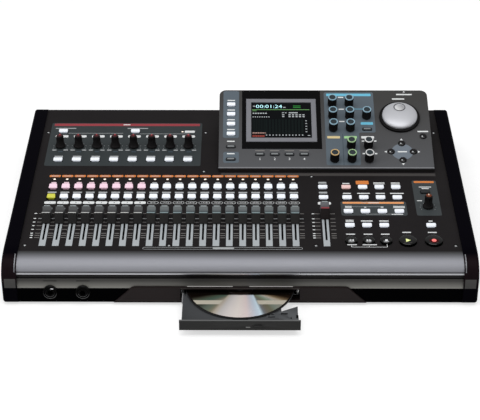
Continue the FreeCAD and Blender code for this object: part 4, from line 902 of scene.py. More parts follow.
def addChannelMarks():
    look = channelMarks
    columns = [c.x for c in solidCentres("record_arm_keys", panelPlace)]
    mono, stereo = columns[:look["mono"]], columns[look["mono"]:]
    master = solidCentres("master_fader", panelPlace)[0].x
    pitch = columns[1] - columns[0]
    gaps = [x + pitch / 2 for x in columns[:-1]] + [columns[0] - pitch / 2, columns[-1] + pitch / 2]
    unity = look["unity"][0]
    levels = look["ticks"][:1] + (unity,) + look["ticks"][1:]
    ticks = [(x, y) for x in gaps for y in look["ticks"]]
    ticks += [(master + side * look["masterReach"], y) for side in (-1, 1) for y in levels]
    numbers = [moved(textMesh(str(index + 1), *look["number"]), Matrix.Translation((x, look["pills"][0], 0)))
               for index, x in enumerate(mono)]
    pairs = [moved(textMesh("%d/%d" % (first, first + 1), *look["pair"]),
                   Matrix.Translation((x, look["pillRings"][0], 0)))
             for x, first in zip(stereo, range(look["mono"] + 1, 99, 2))]
    wings = [row(columns, *look["wings"]), row(stereo, *look["arms"]),
             bars([(master, y) for y in look["masterWings"]], *look["masterWing"])]
    scale = [(x, y) for x in look["scale"] for y in levels]
    x, y, *bracket = look["bracket"]
    dashX, dashY, *dash = look["bracketDash"]
    for name, meshes, colour in (
            ("channelStrips", [row(columns, *look["strips"])], "orange"),
            ("stripDashes", [row(columns, *look["stripDash"], over=1)], "pale"),
            ("monoPills", [row(mono, *look["pills"])], "white"),
            ("armLabels", [row(mono, *look["armLabels"])], "blush"),
            ("selectMarks", wings, "pale"),
            ("masterPill", [row([master + look["masterShift"]], *look["masterPill"])], "white"),
            ("unityTicks", [row(gaps, *look["unity"])], "pale"),
            ("levelTicks", [bars(ticks, *look["tickSize"])], "dim"),
            ("scaleMarks", [bars(scale, *look["scaleSize"])], "white"),
            ("channelBracket", [bars([(x, y)], *bracket), bars([(dashX, dashY)], *dash)], "pale"),
            ("channelNumbers", numbers, "dark"),
            ("stereoPills", [row(stereo, *look["pillRings"])] + pairs, "white"),
            ("channelLamps", [row(columns, *look["lamps"])], "amber")):
        printOn(name, meshes, panelPlace, colour)


inputMarks = {"field": (-231.8, -47.5, 33.0, 133.0, 2.4), "keyHole": (11.8, 7.4, 1.6), "knobHole": 4.4,
              "strip": (-228.9, -50.4, 128.6, 5.6), "dash": (-140.0, 128.8, 8.6, 1.9),
              "pillOffset": (-0.6, 24.4), "pillSize": (15.4, 5.4, 1.6),
              "lampPill": (-62.3, 112.3, 12.4, 5.0, 1.2), "lamp": (-71.2, 112.3, 2.4, 2.4, 1.1),
              "fan": (8.6, 240, 37.5, 9), "fanDot": (0.9, 0.9, 0.4), "dashY": 68.8, "dashReach": 6.9,
              "dashSize": (5.0, 2.2), "lowerLabel": (8.0, 10.0, 3.2), "upperLabel": (2.4, 7.6, 25.0, 1.8),
              "linkDepth": 0.7, "linkCorner": 0.2, "links": ((-210.0, -143.5, 108.3), (-122.6, -61.9, 107.1)),
              "trimMark": (0.8, 65.2, 5.6, 2.4, 0.5)}


def addInputMarks():
    look = inputMarks
    trims = [solidCentres("trim_knob_%d" % n, panelPlace)[0] for n in range(1, 9)]
    keys = solidCentres("input_keys", panelPlace)
    lower = [c for c in keys if c.y < trims[0].y]
    holes = [barLoop(c.x, c.y, *look["keyHole"]) for c in keys] + [discLoop(c.x, c.y,
                                                                            look["knobHole"]) for c in trims]
    dx, dy = look["pillOffset"]
    pillX, pillY, *pill = look["lampPill"]
    lampX, lampY, *lamp = look["lamp"]
    pills = [bars([(c.x + dx, c.y + dy) for c in trims], *look["pillSize"], over=1),
             bars([(pillX, pillY)], *pill, over=1)]
    dots = bars([spot for c in trims for spot in fanSpots(c, *look["fan"])], *look["fanDot"], over=1)
    ends = [(c.x + side * look["dashReach"], look["dashY"]) for c in trims for side in (-1, 1)]
    rise, *lowerSize = look["lowerLabel"]
    shift, upperRise, *upperSize = look["upperLabel"]
    texts = [dots, bars(ends, *look["dashSize"], over=1), bars([(c.x, c.y + rise) for c in lower], *lowerSize,
                                                               over=1),
             bars([(c.x + shift, c.y + upperRise) for c in keys if c not in lower], *upperSize, over=1)]
    texts += [strip(*link, look["linkDepth"], look["linkCorner"]) for link in look["links"]]
    markShift, markY, *mark = look["trimMark"]
    for name, meshes, colour in (
            ("inputField", [fieldMesh([fieldLoop(*look["field"])] + holes)], "field"),
            ("inputStrip", [strip(*look["strip"])], "red"),
            ("inputDash", barList([look["dash"]], 2), "white"),
            ("inputPills", pills, "white"),
            ("inputMarks", texts, "pale"),
            ("trimMarks", [bars([(c.x + markShift, markY) for c in trims], *mark, over=1)], "podLine"),
            ("inputLamp", [bars([(lampX, lampY)], *lamp, over=1)], "amber")):
        printOn(name, meshes, panelPlace, colour)


editMarks = {"orangeLabel": (140.7, -2.8, 14.8, 7.8, 1.0), "linkDash": (140.7, -45.6, 8.0, 1.2, 0.2),
             "locateField": (113.4, 187.6, -72.0, -42.6, 3.0), "monitorField": (198.0, 226.0, -71.8, 1.6,
                                                                                2.4),
             "keyHole": (11.4, 6.8, 1.6), "knobHole": 4.4, "darkKeyY": -23.6,
             "locateStrip": (115.8, 185.2, -45.8, 3.6), "stripDash": (151.0, -45.8, 12.0, 1.2, 0.2),
             "monitorStrip": (200.5, 223.5, -1.6, 4.0), "labelRise": 9.8, "topLabelDrop": 0.8,
             "labelShift": 0.4, "lineDepths": (2.0, 1.5), "pairRises": (-1.0, 1.5),
             "single": {1: 8, 6: 9, 7: 14.4, 8: 10.4, 9: 15.6, 11: 13, 12: 10.4, 13: 4.4, 15: 2.4, 16: 3.2},
             "double": {3: 13, 4: 10.4, 10: 9, 14: 7.6, 17: 13},
             "knobLabels": ((0.6, -12.4, 14.0, 1.6), (0.6, -15.6, 8.4, 1.6)),
             "monitorLabel": (203.4, -41.2, 5.6, 1.6), "upperLink": (142.2, 10.6, 33.7, 0.5, 0.2),
             "lowerLink": (155.7, -4.6, 30.2, 0.5, 0.2), "whiteLink": (176.0, -4.8, 13.0, 1.5, 0.3),
             "bracket": (121.2, 160.0, -133.6), "bracketLine": 0.6, "bracketRises": (3.0, 2.4, 5.6),
             "bracketLabels": ((121.8, -129.2, 10.4, 1.7), (141.2, -129.2, 15.6, 1.7)),
             "nameRises": (15.0, 18.6), "largeKeysFrom": 170, "nameSize": (9.6, 1.9),
             "fan": (8.8, 210, 30, 9), "fanDot": (0.8, 0.8)}


def addEditMarks():
    look = editMarks
    keys, locate = solidCentres("edit_keys", panelPlace), solidCentres("locate_keys", panelPlace)
    knob = solidCentres("monitor_knob", panelPlace)[0]
    darkKey = min(keys, key=lambda c: abs(c.x - knob.x) + abs(c.y - look["darkKeyY"]))
    loops = [fieldLoop(*look["locateField"]), fieldLoop(*look["monitorField"]),
             discLoop(knob.x, knob.y, look["knobHole"])]
    loops += [barLoop(c.x, c.y, *look["keyHole"]) for c in locate + [darkKey]]
    white = sorted((c for c in keys if c is not darkKey), key=lambda c: (-round(c.y), c.x)) + locate
    spots = [(c.x + look["labelShift"], c.y + look["labelRise"] - (look["topLabelDrop"] if c.y > -20 else 0))
             for c in white]
    one, two = look["lineDepths"]
    labels = [bars([spots[i]], width, one, over=1) for i, width in look["single"].items()]
    labels += [bars([(spots[i][0], spots[i][1] + dy)], width, two, over=1)
               for i, width in look["double"].items() for dy in look["pairRises"]]
    labels += barList([(knob.x + x, *rest) for x, *rest in look["knobLabels"]] + [look["monitorLabel"]], 1)
    links = {name: marks([barLoop(x, locate[0].y + rise, *size)], 1) for name,
             (x, rise, *size) in ((name, look[name]) for name in ("upperLink", "lowerLink", "whiteLink"))}
    left, right, y = look["bracket"]
    middle, line = (left + right) / 2, look["bracketLine"]
    foot = [marks([barLoop(middle, y, right - left, line, 0.1)])]
    foot += [marks([barLoop(x, y + rise / 2, line, rise, 0.1)])
             for x, rise in zip((left, middle, right), look["bracketRises"])]
    small, large = look["nameRises"]
    names = [(c.x, c.y + (large if c.x > look["largeKeysFrom"] else small))
             for c in solidCentres("transport_keys", panelPlace)]
    whole = labels + foot + [bars(names,
                                  *look["nameSize"])] + barList(look["bracketLabels"]) + [links["whiteLink"]]
    for key, over in (("linkDash", 1), ("stripDash", 2)):
        x, y, *dash = look[key]
        whole.append(bars([(x, y)], *dash, over=over))
    x, y, *label = look["orangeLabel"]
    for name, meshes, colour in (
            ("editLabel", [bars([(x, y)], *label)], "orange"),
            ("editFields", [fieldMesh(loops)], "locate"),
            ("locateStrip", [strip(*look["locateStrip"])], "peach"),
            ("monitorStrip", [strip(*look["monitorStrip"])], "orange"),
            ("locateLinks", [links["upperLink"], links["lowerLink"]], "pale"),
            ("monitorDots", [bars(fanSpots(knob, *look["fan"]), *look["fanDot"], over=1)], "pale"),
            ("editMarks", whole, "white")):
        printOn(name, meshes, panelPlace, colour)


addChannelMarks()
addInputMarks()
addEditMarks()
print("panel printed")

# Printing on the pod

podMarks = {"fields": ((-21.2, -2.2, 47.9, 125.5), (-20.6, -2.1, 8.1, 25.3)), "corner": 2.2, "pageFrom": 26,
            "menuFrom": 46, "darkBelow": 40, "darkHole": (11.8, 5.0, 1.5), "menuHole": (10.8, 6.0, 1.5),
            "knobHole": 4.4, "eqTop": (100.7, 160.7, 123.6), "eqStep": (56.8, 140.9), "eqBottom": 4.6,
            "tags": ((103.8, 157.8, 119.2, 4.2), (143.7, 158.3, 71.6, 4.2)),
            "lowTags": (("tanTag", 110.4, "tan", 1), ("greenTag", 130.4, "green", 1),
                        ("whiteTag", 150.8, "white", 0)), "lowTag": (49.0, 15.2, 3.8, 0.8),
            "split": (121.0, 29.5, 0.7, 49.5, 0.2), "padGap": 4.7, "padField": 12.6, "padPoints": 120,
            "nameRise": 7.5, "lowNameRise": 1.4, "nameSize": (9.0, 1.7),
            "knobTexts": [(121.1, t, 6.4, 1.7) for t in (115.0, 95.1, 74.8)],
            "texts": [(x, t, 3.0, 1.9) for x in (145.0, 159.4) for t in (43.0, 22.9)] + [(190.9, 112.4, 15.0,
                                                                                          2.1),
                                                                                         (198.4, 120.0, 19.0,
                                                                                          2.1),
                                                                                         (217.0, 58.6, 12.6,
                                                                                          2.0)],
            "padText": (11.0, 1.8), "number": (4.8, 0.01, 0.06, 0.06), "numberY": 14.2,
            "arrow": ((0, 1.9), (-1.7, -1.1), (1.7, -1.1)), "arrowReach": 19.4,
            "jogArrow": (198.4, 124.4, 0.8), "knobLink": (142.7, 95.4, 11.8, 0.7, 0.2),
            "rules": (6.0, 11.0, 1.2, 0.2)}


def padOutline(centre, reach):  # a round field that keeps clear of four keys round its middle
    points, gap = podMarks["padPoints"], podMarks["padGap"]
    loop = []
    for step in range(points):
        angle = 2 * math.pi * step / points
        off = (angle + math.pi / 4) % (math.pi / 2) - math.pi / 4
        cut = gap ** 2 - (reach * math.sin(off)) ** 2
        radius = podMarks["padField"]
        if cut > 0:
            radius = min(radius, reach * math.cos(off) - math.sqrt(cut))
        loop.append(centre + radius * Vector((math.cos(angle), math.sin(angle))))
    return loop


def addPodMarks():
    look = podMarks
    menu, functions = solidCentres("menu_keys", podPlace), solidCentres("function_keys", podPlace)
    knobs = [solidCentres("pod_knob_%02d" % n, podPlace)[0] for n in range(1, 13)]
    low = [c for c in functions if c.y < look["darkBelow"]]
    loops = [fieldLoop(*limits, look["corner"]) for limits in look["fields"]]
    loops += [barLoop(c.x, c.y, *look["darkHole" if c.y < look["darkBelow"] else "menuHole"])
              for c in menu if c.y < look["pageFrom"] or c.y > look["menuFrom"]]
    x0, x1, top = look["eqTop"]
    stepY, xLow = look["eqStep"]
    bottom = look["eqBottom"]
    loops.append(roundedLoop([(x0, bottom), (xLow, bottom), (xLow, stepY), (x1, stepY), (x1, top), (x0, top)],
                             look["corner"], 4))
    loops += [discLoop(c.x, c.y, look["knobHole"]) for c in knobs if c.x < xLow or c.y > stepY]
    loops += [barLoop(c.x, c.y, *look["darkHole"]) for c in functions if c not in low]
    pads = sorted(solidCentres("cursor_keys", podPlace), key=lambda c: c.y)[:4]
    centre = sum((Vector((c.x, c.y)) for c in pads), Vector((0, 0))) / 4
    names = [(c.x, c.y + look["nameRise"] + (0 if c.y > 44 else look["lowNameRise"])) for c in menu]
    texts = [bars(names, *look["nameSize"], over=1), bars([(centre.x, centre.y)], *look["padText"], over=1)]
    texts += barList(look["knobTexts"], 1) + barList(look["texts"])
    texts += [moved(textMesh(str(index + 1), *look["number"]), Matrix.Translation((c.x, look["numberY"], 0)))
              for index, c in enumerate(low)]
    arrow = [Vector(p) for p in look["arrow"]]
    for angle in (0, 90, 180, 270):
        turn = Matrix.Rotation(math.radians(angle), 2)
        texts.append(marks([[turn @ (p + Vector((0, look["arrowReach"]))) + centre for p in arrow]]))
    x, y, size = look["jogArrow"]
    texts.append(marks([[p * size + Vector((x, y)) for p in arrow]]))
    tagY, *tag = look["lowTag"]
    lowTags = [(name, [marks([barLoop(x, tagY, *tag)], over)], colour) for name, x, colour, over in look["lowTags"]]
    linkX, linkY, *link = look["knobLink"]
    rise, *rule = look["rules"]
    for name, meshes, colour in (
            ("cursorField", [fieldMesh([padOutline(centre, max(c.x for c in pads) - centre.x)])], "cursor"),
            ("podFields", [fieldMesh(loops)], "podField"),
            ("cyanTags", [strip(*values) for values in look["tags"]], "cyan"),
            *lowTags,
            ("podSplit", [marks([barLoop(*look["split"])], 1)], "podLine"),
            ("podTexts", texts, "white"),
            ("knobLink", [bars([(linkX, linkY)], *link, over=1)], "cyan"),
            ("keyRules", [bars([(c.x, c.y + rise) for c in low], *rule)], "dim")):
        printOn(name, meshes, podPlace, colour)


addPodMarks()
print("pod printed")

# Screen: a dark lit face with a time read-out, level columns and rows of marks

screenSize = {"border": 5.5, "depth": -0.55, "shine": 0.06, "layer": 0.04, "lift": 0.05,
              "time": ("00:01:24", 7.8, 0, 0.04, -0.06), "timePlace": (34.0, 99.9, 0), "timeStretch": 1.2}
screenRows = {  # rows of blocks: first place, step in x and t, count, width and depth
    "screenLine": ("line", ((48.1, 94.8, 0, 0, 1, 69.4, 0.9), (16.4, 92.9, 0, 0, 1, 5.0, 0.8))),
    "screenNote": ("note", ((67.6, 101.0, 0, -2.6, 2, 9.0, 1.4),)),
    "screenMarks": ("mark", (
        (15.2, 88.7, 3.0, 0, 6, 2.0, 1.7), (14.8, 82.7, 2.7, 0, 8, 1.3, 1.4),
        (50.6, 89.6, 3.4, 0, 2, 2.2, 1.1), (63.2, 89.6, 0, 0, 1, 11.0, 1.5),
        (51.0, 86.2, 0, -3.0, 2, 2.8, 1.3), (58.6, 86.2, 4.2, 0, 5, 2.5, 1.6),
        (58.6, 83.2, 4.2, 0, 5, 2.5, 1.6), (78.3, 76.4, 0, -4.5, 5, 1.9, 1.2),
        (30.7, 53.0, 3.9, 0, 12, 1.5, 1.5), (81.2, 52.4, 0, 0, 1, 3.0, 1.0),
        (16.0, 47.9, 3.6, 0, 4, 2.8, 1.1), (39.2, 47.9, 0, 0, 1, 6.0, 1.1),
        (16.0, 100.6, 36.6, -2.0, 2, 3.0, 1.2))),
    "screenColumns": ("column", ((14.8, 68.4, 1.95, 0, 8, 1.3, 21.4), (30.7, 66.8, 3.9, 0, 12, 2.6, 24.6))),
    "screenArmed": ("armed", ((14.8, 51.4, 2.1, 0, 7, 1.7, 3.0),)),
    "screenCream": ("cream", ((14.8, 56.4, 2.1, 0, 8, 1.5, 1.6),)),
}
screenLook = {  # every part glows a little and hardly mirrors the room
    "face": tint("060709 090b0d", 0.15, 0.22, shine=0.08, glow=0.3, glowColour="101315"),
    "time": tint("a9e6ee", 0.3, 0.4, glow=0.9, glowColour="bdf2f6"),
    "line": tint("4a7a48", 0.3, 0.4, glow=0.42, glowColour="7fae6c"),
    "note": tint("25602c", 0.3, 0.4, glow=0.4, glowColour="2f8a3a"),
    "mark": tint("a4a9ac", 0.3, 0.4, glow=0.2, glowColour="dfe3e6"),
    "column": tint("0b1112", 0.3, 0.4, glow=0.2, glowColour="16211f"),
    "armed": tint("74342e", 0.3, 0.4, glow=0.3, glowColour="a84c40"),
    "cream": tint("a4847a", 0.3, 0.4, glow=0.35, glowColour="c9a79a"),
}


def addScreen():
    lit = {name: finish("screen" + name.capitalize(), dict(values, shine=screenSize["shine"]))
           for name, values in screenLook.items()}
    flat = [podPlace.inverted() @ v.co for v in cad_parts["display_module"].data.vertices]
    top = max(p.z for p in flat)
    border, level, layer = screenSize["border"], screenSize["depth"], screenSize["layer"]
    spans = [(min(v) + border, max(v) - border) for v in zip(*((p.x, p.y) for p in flat if p.z > top - 0.1))]
    (x0, x1), (t0, t1) = spans

    def show(name, meshes, key, lift=screenSize["lift"]):
        mesh = joinedAsOne(meshes)
        mesh.transform(Matrix.Translation((0, 0, level + lift)))
        addPiece(name, mesh, podPlace, [lit[key]], "case")

    def block(spots, width, depth, corner=0.15):
        return barsMesh(spots, (width, depth, corner, layer, 0.0), None, 0.0)

    show("screenFace", [block([((x0 + x1) / 2, (t0 + t1) / 2)], x1 - x0, t1 - t0, 0.2)], "face", 0.0)
    stretch = Matrix.Diagonal((screenSize["timeStretch"], 1.0, 1.0, 1.0))
    show("screenTime", [moved(textMesh(*screenSize["time"]),
                              Matrix.Translation(screenSize["timePlace"]) @ stretch)], "time")
    for name, (key, rows) in screenRows.items():
        show(name, [block([(x + stepX * i, t + stepT * i) for i in range(count)], width, depth)
                    for x, t, stepX, stepT, count, width, depth in rows], key)


addScreen()
print("screen lit")

# Keys

keyLook = {
    # white, pink, yellow and rose glow though they are not lamps: painted light that lifts their shaded fronts;
    # glint and faint are painted highlights
    "white": tint("f0f4fb f5f8fd", 0.35, 0.45, milky=0.1, glow=0.22, glowColour="e8f0ff"),
    "pink": tint("f2d0e0 f6dae8", 0.35, 0.45, milky=0.1, glow=0.17, glowColour="ffcfe4"),
    "yellow": tint("c6c53a d0cf4c", 0.35, 0.45, glow=0.15, glowColour="dede3c"),
    "rose": tint("f0c8c4 f4d4d0", 0.35, 0.45, glow=0.12, glowColour="ffc4bc"),
    "dark": tint("232527 292b2d", 0.45, 0.55, shine=0.25),
    "black": tint("030303 060606", 0.14, 0.22, coat=0.2, shine=0.25),
    "glint": tint("b9bcbe c6c9cb", 0.2, 0.3),
    "faint": tint("3a3836 43403e", 0.2, 0.3),
}
keyFinish = {name: finish(name + "Key", look) for name, look in keyLook.items()}
keySize = {  # width, depth, rise, side round, offset and lean to the rear
    "edit": (10.6, 4.6, 1.7, 0.7, -0.6, 1.2), "input": (10.6, 5.0, 1.6, 0.7, -0.6, 0.8),
    "menu": (10.0, 4.6, 1.4, 0.6, -0.3, 0.6), "function": (11.2, 4.4, 1.4, 0.9, 0, 0),
    "foot": -3.0, "lift": 0.9, "bevel": 0.45, "corner": 0.8}
channelKey = {"half": 4.9, "rear": 3.9, "height": 3.1, "round": 0.6, "record": -2.0, "select": -1.2}


def channelKeyMesh(first):  # a low wedge that rises to the rear and narrows a little
    look = channelKey
    tall, rear = look["height"], min(look["rear"] + first - look["record"], 4.2)

    def outline(shrink, front, back):
        half = look["half"] - shrink
        corners = [(-half, first + front), (half, first + front), (half - 0.5, rear + back),
                   (-half + 0.5, rear + back)]
        return roundedLoop(corners, look["round"], 4)

    rings = []
    for z, shrink, front, back in ((keySize["foot"], 1.4, 2.2, -1), (0.1, 1.4, 2.2, -1), (0.12, 0, 0, 0),
                                   (tall - 0.6, 0.05, 0.1, 0),
                                   (tall - 0.15, 0.35, 0.4, -0.15), (tall, 1.0, 1.1, -0.6)):
        rings.append([(p.x, p.y, z if z < 0.2 else z * (0.35 + 0.65 * (p.y - first) / (rear - first)))
                      for p in outline(shrink, front, back)])
    return meshFrom(lambda work: loft(work, rings))


def keyMesh(size):  # a cap with rounded corners and an arched top
    width, depth, rise, arch, offset, lean = size
    foot, bevel, corner = keySize["foot"], keySize["bevel"], keySize["corner"]
    lift = keySize["lift"] if lean else 0
    stem = barLoop(0, 0, width - 2.4, depth - 3.0, 0.6, 3)
    rings = [[(p.x, p.y + offset + 0.6, z) for p in stem] for z in (foot, lift)]
    rings.append([(p.x, p.y + offset, lift + 0.02) for p in barLoop(0, 0, width, depth, corner, 3)])
    steps = 5
    for i in range(steps + 1):
        angle = math.pi / 2 * i / steps
        inX = arch * (1 - math.cos(angle))
        inY = bevel * (1 - math.cos(angle)) * 1.6
        height = rise - arch * (1 - math.sin(angle))
        rings.append([(p.x, p.y + offset + lean * height / rise, height + lift)
                      for p in barLoop(0, 0, width - 2 * inX, depth - 2 * inY, corner, 3)])
    return meshFrom(lambda work: loft(work, rings))


def domeMesh(radius, rise, crown, lean=0.0):  # a round cap with a softly domed top, set back over its stem
    stem = radius - lean
    profile = [(stem, keySize["foot"]), (stem, 0.0), (stem, 0.9), (radius, 0.9), (radius, rise - 0.6)]
    for i in range(1, 9):
        angle = math.pi / 2 * i / 8
        profile.append((max((radius - 0.2) * math.cos(angle), 0.02), rise - 0.5 + crown * math.sin(angle)))
    mesh = spunMesh(profile, 40)
    for vertex in mesh.vertices:
        vertex.co.y += lean * min(max(vertex.co.z / 0.9, 0), 1)
    return mesh


def addKeys(name, spots, item, colour, body, place, replaced=()):
    mesh = itemsMesh([(c.x, c.y) for c in spots], item, keyFinish[colour])
    return addPiece(name, mesh, place, [keyFinish[colour]], body, replaced)


def addPanelKeys():
    recordKey, selectKey = channelKeyMesh(channelKey["record"]), channelKeyMesh(channelKey["select"])
    record = solidCentres("record_arm_keys", panelPlace)
    select = solidCentres("select_keys", panelPlace)
    mono = channelMarks["mono"]
    addKeys("armedKeys", record[:mono], recordKey, "pink", "record_arm_keys", panelPlace,
            ["record_arm_keys"])
    addKeys("recordKeys", record[mono:], recordKey, "white", "record_arm_keys", panelPlace)
    addKeys("chosenKey", select[:1], selectKey, "yellow", "select_keys", panelPlace,
            ["select_keys"])
    addKeys("selectKeys", select[1:], selectKey, "white", "select_keys", panelPlace)
    edit = keyMesh(keySize["edit"])
    keys = solidCentres("edit_keys", panelPlace)
    knob = solidCentres("monitor_knob", panelPlace)[0]
    dark = min(keys, key=lambda c: abs(c.x - knob.x) + abs(c.y + 23.6))
    lit = min(keys, key=lambda c: abs(c.x - 121.4) + abs(c.y + 14))
    plain = [c for c in keys if c not in (dark, lit)]
    addKeys("editKeys", plain, edit, "white", "edit_keys", panelPlace, ["edit_keys"])
    addKeys("muteKey", [lit], edit, "rose", "edit_keys", panelPlace)
    addKeys("monitorKey", [dark], edit, "dark", "edit_keys", panelPlace)
    addKeys("locateKeys", solidCentres("locate_keys", panelPlace), edit, "white", "locate_keys",
            panelPlace, ["locate_keys"])
    addKeys("inputKeys", solidCentres("input_keys", panelPlace), keyMesh(keySize["input"]), "white",
            "input_keys", panelPlace, ["input_keys"])


def addPodKeys():
    menu = solidCentres("menu_keys", podPlace)
    addKeys("menuKeys", [c for c in menu if c.y > 44], keyMesh(keySize["menu"]), "white", "menu_keys",
            podPlace, ["menu_keys"])
    function = keyMesh(keySize["function"])
    dark = [c for c in menu if c.y < 44]
    addKeys("pageKeys", dark, function, "dark", "menu_keys", podPlace)
    keys = solidCentres("function_keys", podPlace)
    addKeys("functionKeys", keys, function, "dark", "function_keys", podPlace,
            ["function_keys"])
    top = keySize["function"][2]
    printOn("pageBars", [barsMesh([(c.x, c.y) for c in dark], (8.0, 2.0, 0.6, 0.05, 0), None, top)],
            podPlace, "keyGrey", "menu_keys", "key_dark")
    printOn("functionBars", [barsMesh([(c.x, c.y) for c in keys], (8.0, 2.0, 0.6, 0.05, 0), None, top)],
            podPlace, "keyGrey", "function_keys", "key_dark")
    cursor = solidCentres("cursor_keys", podPlace)
    addKeys("roundKeys", cursor, domeMesh(4.1, 1.4, 0.9), "black", "cursor_keys", podPlace,
            ["cursor_keys"])
    glint = inkMesh([discLoop(-1.1, -1.2, 1.0, 12)], 1.5, 1.76)
    addKeys("roundKeyGlints", cursor, glint, "glint", "cursor_keys", podPlace)


transport = {"small": 6.6, "large": 9.6, "rise": 2.2, "crown": 1.1, "symbolLift": 0.04, "symbolDrop": 0.6,
             "lean": 2.2}
transportLook = {
    # symbol glows a little, painted light on the printed symbols; halo is the record lamp's light painted round it
    # on the key
    "symbol": tint("e2e4e6", 0.3, 0.4, glow=0.2),
    "play": tint("dfe8a0", 0.3, 0.4, glow=0.5, glowColour="e4f09a"),
    "record": tint("dc6e6c", 0.3, 0.4, glow=0.6, glowColour="f27068"),
    "halo": tint("30060a", 0.3, 0.4, glow=0.1, glowColour="801418", shine=0.05),
}


def addTransport():
    keys = sorted(solidCentres("transport_keys", panelPlace), key=lambda c: c.x)
    lean = transport["lean"]
    small = domeMesh(transport["small"], transport["rise"], transport["crown"], lean)
    large = domeMesh(transport["large"], transport["rise"], transport["crown"], lean)
    addKeys("windKeys", keys[:3], small, "black", "transport_keys", panelPlace,
            ["transport_keys"])
    addKeys("playKeys", keys[3:], large, "black", "transport_keys", panelPlace)
    made = {name: finish("transport" + name.capitalize(), look) for name, look in transportLook.items()}
    top = transport["rise"] - 0.5 + transport["crown"] + transport["symbolLift"]
    arrow = [Vector((1.5, 0)), Vector((-1.1, 1.6)), Vector((-1.1, -1.6))]
    drop = Vector((0, -transport["symbolDrop"]))

    def symbol(name, loops, key, low=0.0):
        mesh = inkMesh(loops, top - 0.12 - low, top + 0.03 - low)
        addPiece(name, mesh, panelPlace, [made[key]], "transport_keys")

    spots = [Vector((c.x, c.y)) + drop for c in keys]
    pairs = []
    for spot, way in ((spots[0], -1), (spots[1], 1)):
        for shift in (-1.4, 1.4):
            pairs.append([Vector((p.x * way, p.y)) + spot + Vector((shift, 0)) for p in arrow])
    pairs.append(barLoop(spots[2].x, spots[2].y, 2.8, 3.0, 0.2, 2))
    symbol("windSymbols", pairs, "symbol")
    symbol("playSymbol", [[p * 1.9 + spots[3] + Vector((-0.3, 0)) for p in arrow]], "play")
    symbol("recordHalo", [discLoop(spots[4].x, spots[4].y, 5.0), discLoop(spots[4].x, spots[4].y, 2.7)],
           "halo", 0.16)
    symbol("recordSymbol", [discLoop(spots[4].x, spots[4].y, 2.6)], "record")
    for name, some, radius, colour in (("windGlints", keys[:3], 5.1, "glint"),
                                       ("playGlints", keys[3:], 7.6, "faint")):
        height = transport["rise"] - 0.5 + transport["crown"] * math.sqrt(1 - (radius / (radius + 1.9)) ** 2)
        arc = [math.radians(a) for a in range(-128, -51, 7)]
        band = [Vector((r * math.cos(a), r * math.sin(a))) for r,
                way in ((radius + 0.4, 1), (radius - 0.5, -1)) for a in arc[::way]]
        addKeys(name, [c + Vector((0, lean, 0)) for c in some], inkMesh([band], height - 0.4, height + 0.3),
                colour, "transport_keys", panelPlace)


addPanelKeys()
addPodKeys()
addTransport()
print("keys made")

# Faders

faderCap = {"width": 9.8, "length": 23.5, "crown": 13.0, "height": 12.0, "foot": 0.8, "saddle": 3.2,
            "bevel": 0.7, "line": (0.55, 0), "masterLine": (1.4, 0.9), "stem": (1.2, 6.0), "stemLow": -6.0,
            "paintedShadings": (("far", -3.6, 5.4), ("near", -3.2, -4.6))}
faderLook = {
    # far and near are painted light: each cap lighter towards its lit rear and darker towards its shaded front;
    # glint is a painted highlight
    "cap": tint("2a2a2b 2e2e2f", 0.4, 0.52, shine=0.2, grain=2600, relief=0.02, far="545556", near="242323"),
    "line": tint("cecfcd d6d7d5", 0.4, 0.5),
    "stereo": tint("1e3038 22343c", 0.4, 0.52, shine=0.2, grain=2600, relief=0.02, far="6e7374",
                   near="2a2928"),
    "stereoLine": tint("8fa5a9 9ab0b4", 0.4, 0.5),
    "masterCap": tint("302526 362b2c", 0.4, 0.52, shine=0.2, far="68696d", near="1c1616"),
    "masterLine": tint("843038 8c363e", 0.4, 0.5),
    "stem": tint("101010 151515", 0.4, 0.5),
    "glint": tint("b8c2c4 c4ced0", 0.3, 0.4),
}


def saddleHeight(y):  # height of the cap's dished top at a distance from its middle
    half = faderCap["crown"] / 2
    drop = faderCap["saddle"]
    radius = (half * half + drop * drop) / (2 * drop)
    return faderCap["height"] - drop + radius - math.sqrt(max(radius * radius - y * y, 0))


def capMesh():
    half, crown, top = faderCap["length"] / 2, faderCap["crown"] / 2, faderCap["height"]
    outline = [(-half, faderCap["foot"]), (-half + 0.3, faderCap["foot"] + 1.0)]
    outline += [(-crown - 0.5, top - 0.9), (-crown - 0.15, top - 0.2)]
    for i in range(13):
        y = -crown + 0.25 + (2 * crown - 0.5) * i / 12
        outline.append((y, saddleHeight(y)))
    outline += [(crown + 0.15, top - 0.2), (crown + 0.5, top - 0.9)]
    outline += [(half - 0.3, faderCap["foot"] + 1.0), (half, faderCap["foot"])]
    wide = faderCap["width"] / 2
    rings = []
    for x, inset in ((-wide, faderCap["bevel"]), (-wide + 0.2, 0.25), (-wide + faderCap["bevel"], 0),
                     (wide - faderCap["bevel"], 0), (wide - 0.2, 0.25), (wide, faderCap["bevel"])):
        rings.append([(x, y * (1 - inset / half), max(z - inset, faderCap["foot"])) for y, z in outline])
    return meshFrom(lambda work: loft(work, rings))


def lineMesh(half, shift):  # the painted index line along the near edge of the crown
    wide = faderCap["width"] / 2 - 0.5
    y, z = -faderCap["crown"] / 2 + 0.3 + shift, faderCap["height"]
    return boxMesh((-wide, y - half, z - 0.8), (wide, y + half, z - 0.06))


def glintMesh():  # the lit far edge of a cap
    half = faderCap["width"] / 2 - 1.6
    y, z = faderCap["crown"] / 2, faderCap["height"]
    return boxMesh((-half, y + 0.2, z - 0.7), (half, y + 1.0, z + 0.2))


def stemMesh():
    width, length = faderCap["stem"]
    return boxMesh((-width / 2, -length / 2, faderCap["stemLow"]), (width / 2, length / 2, 2.0))


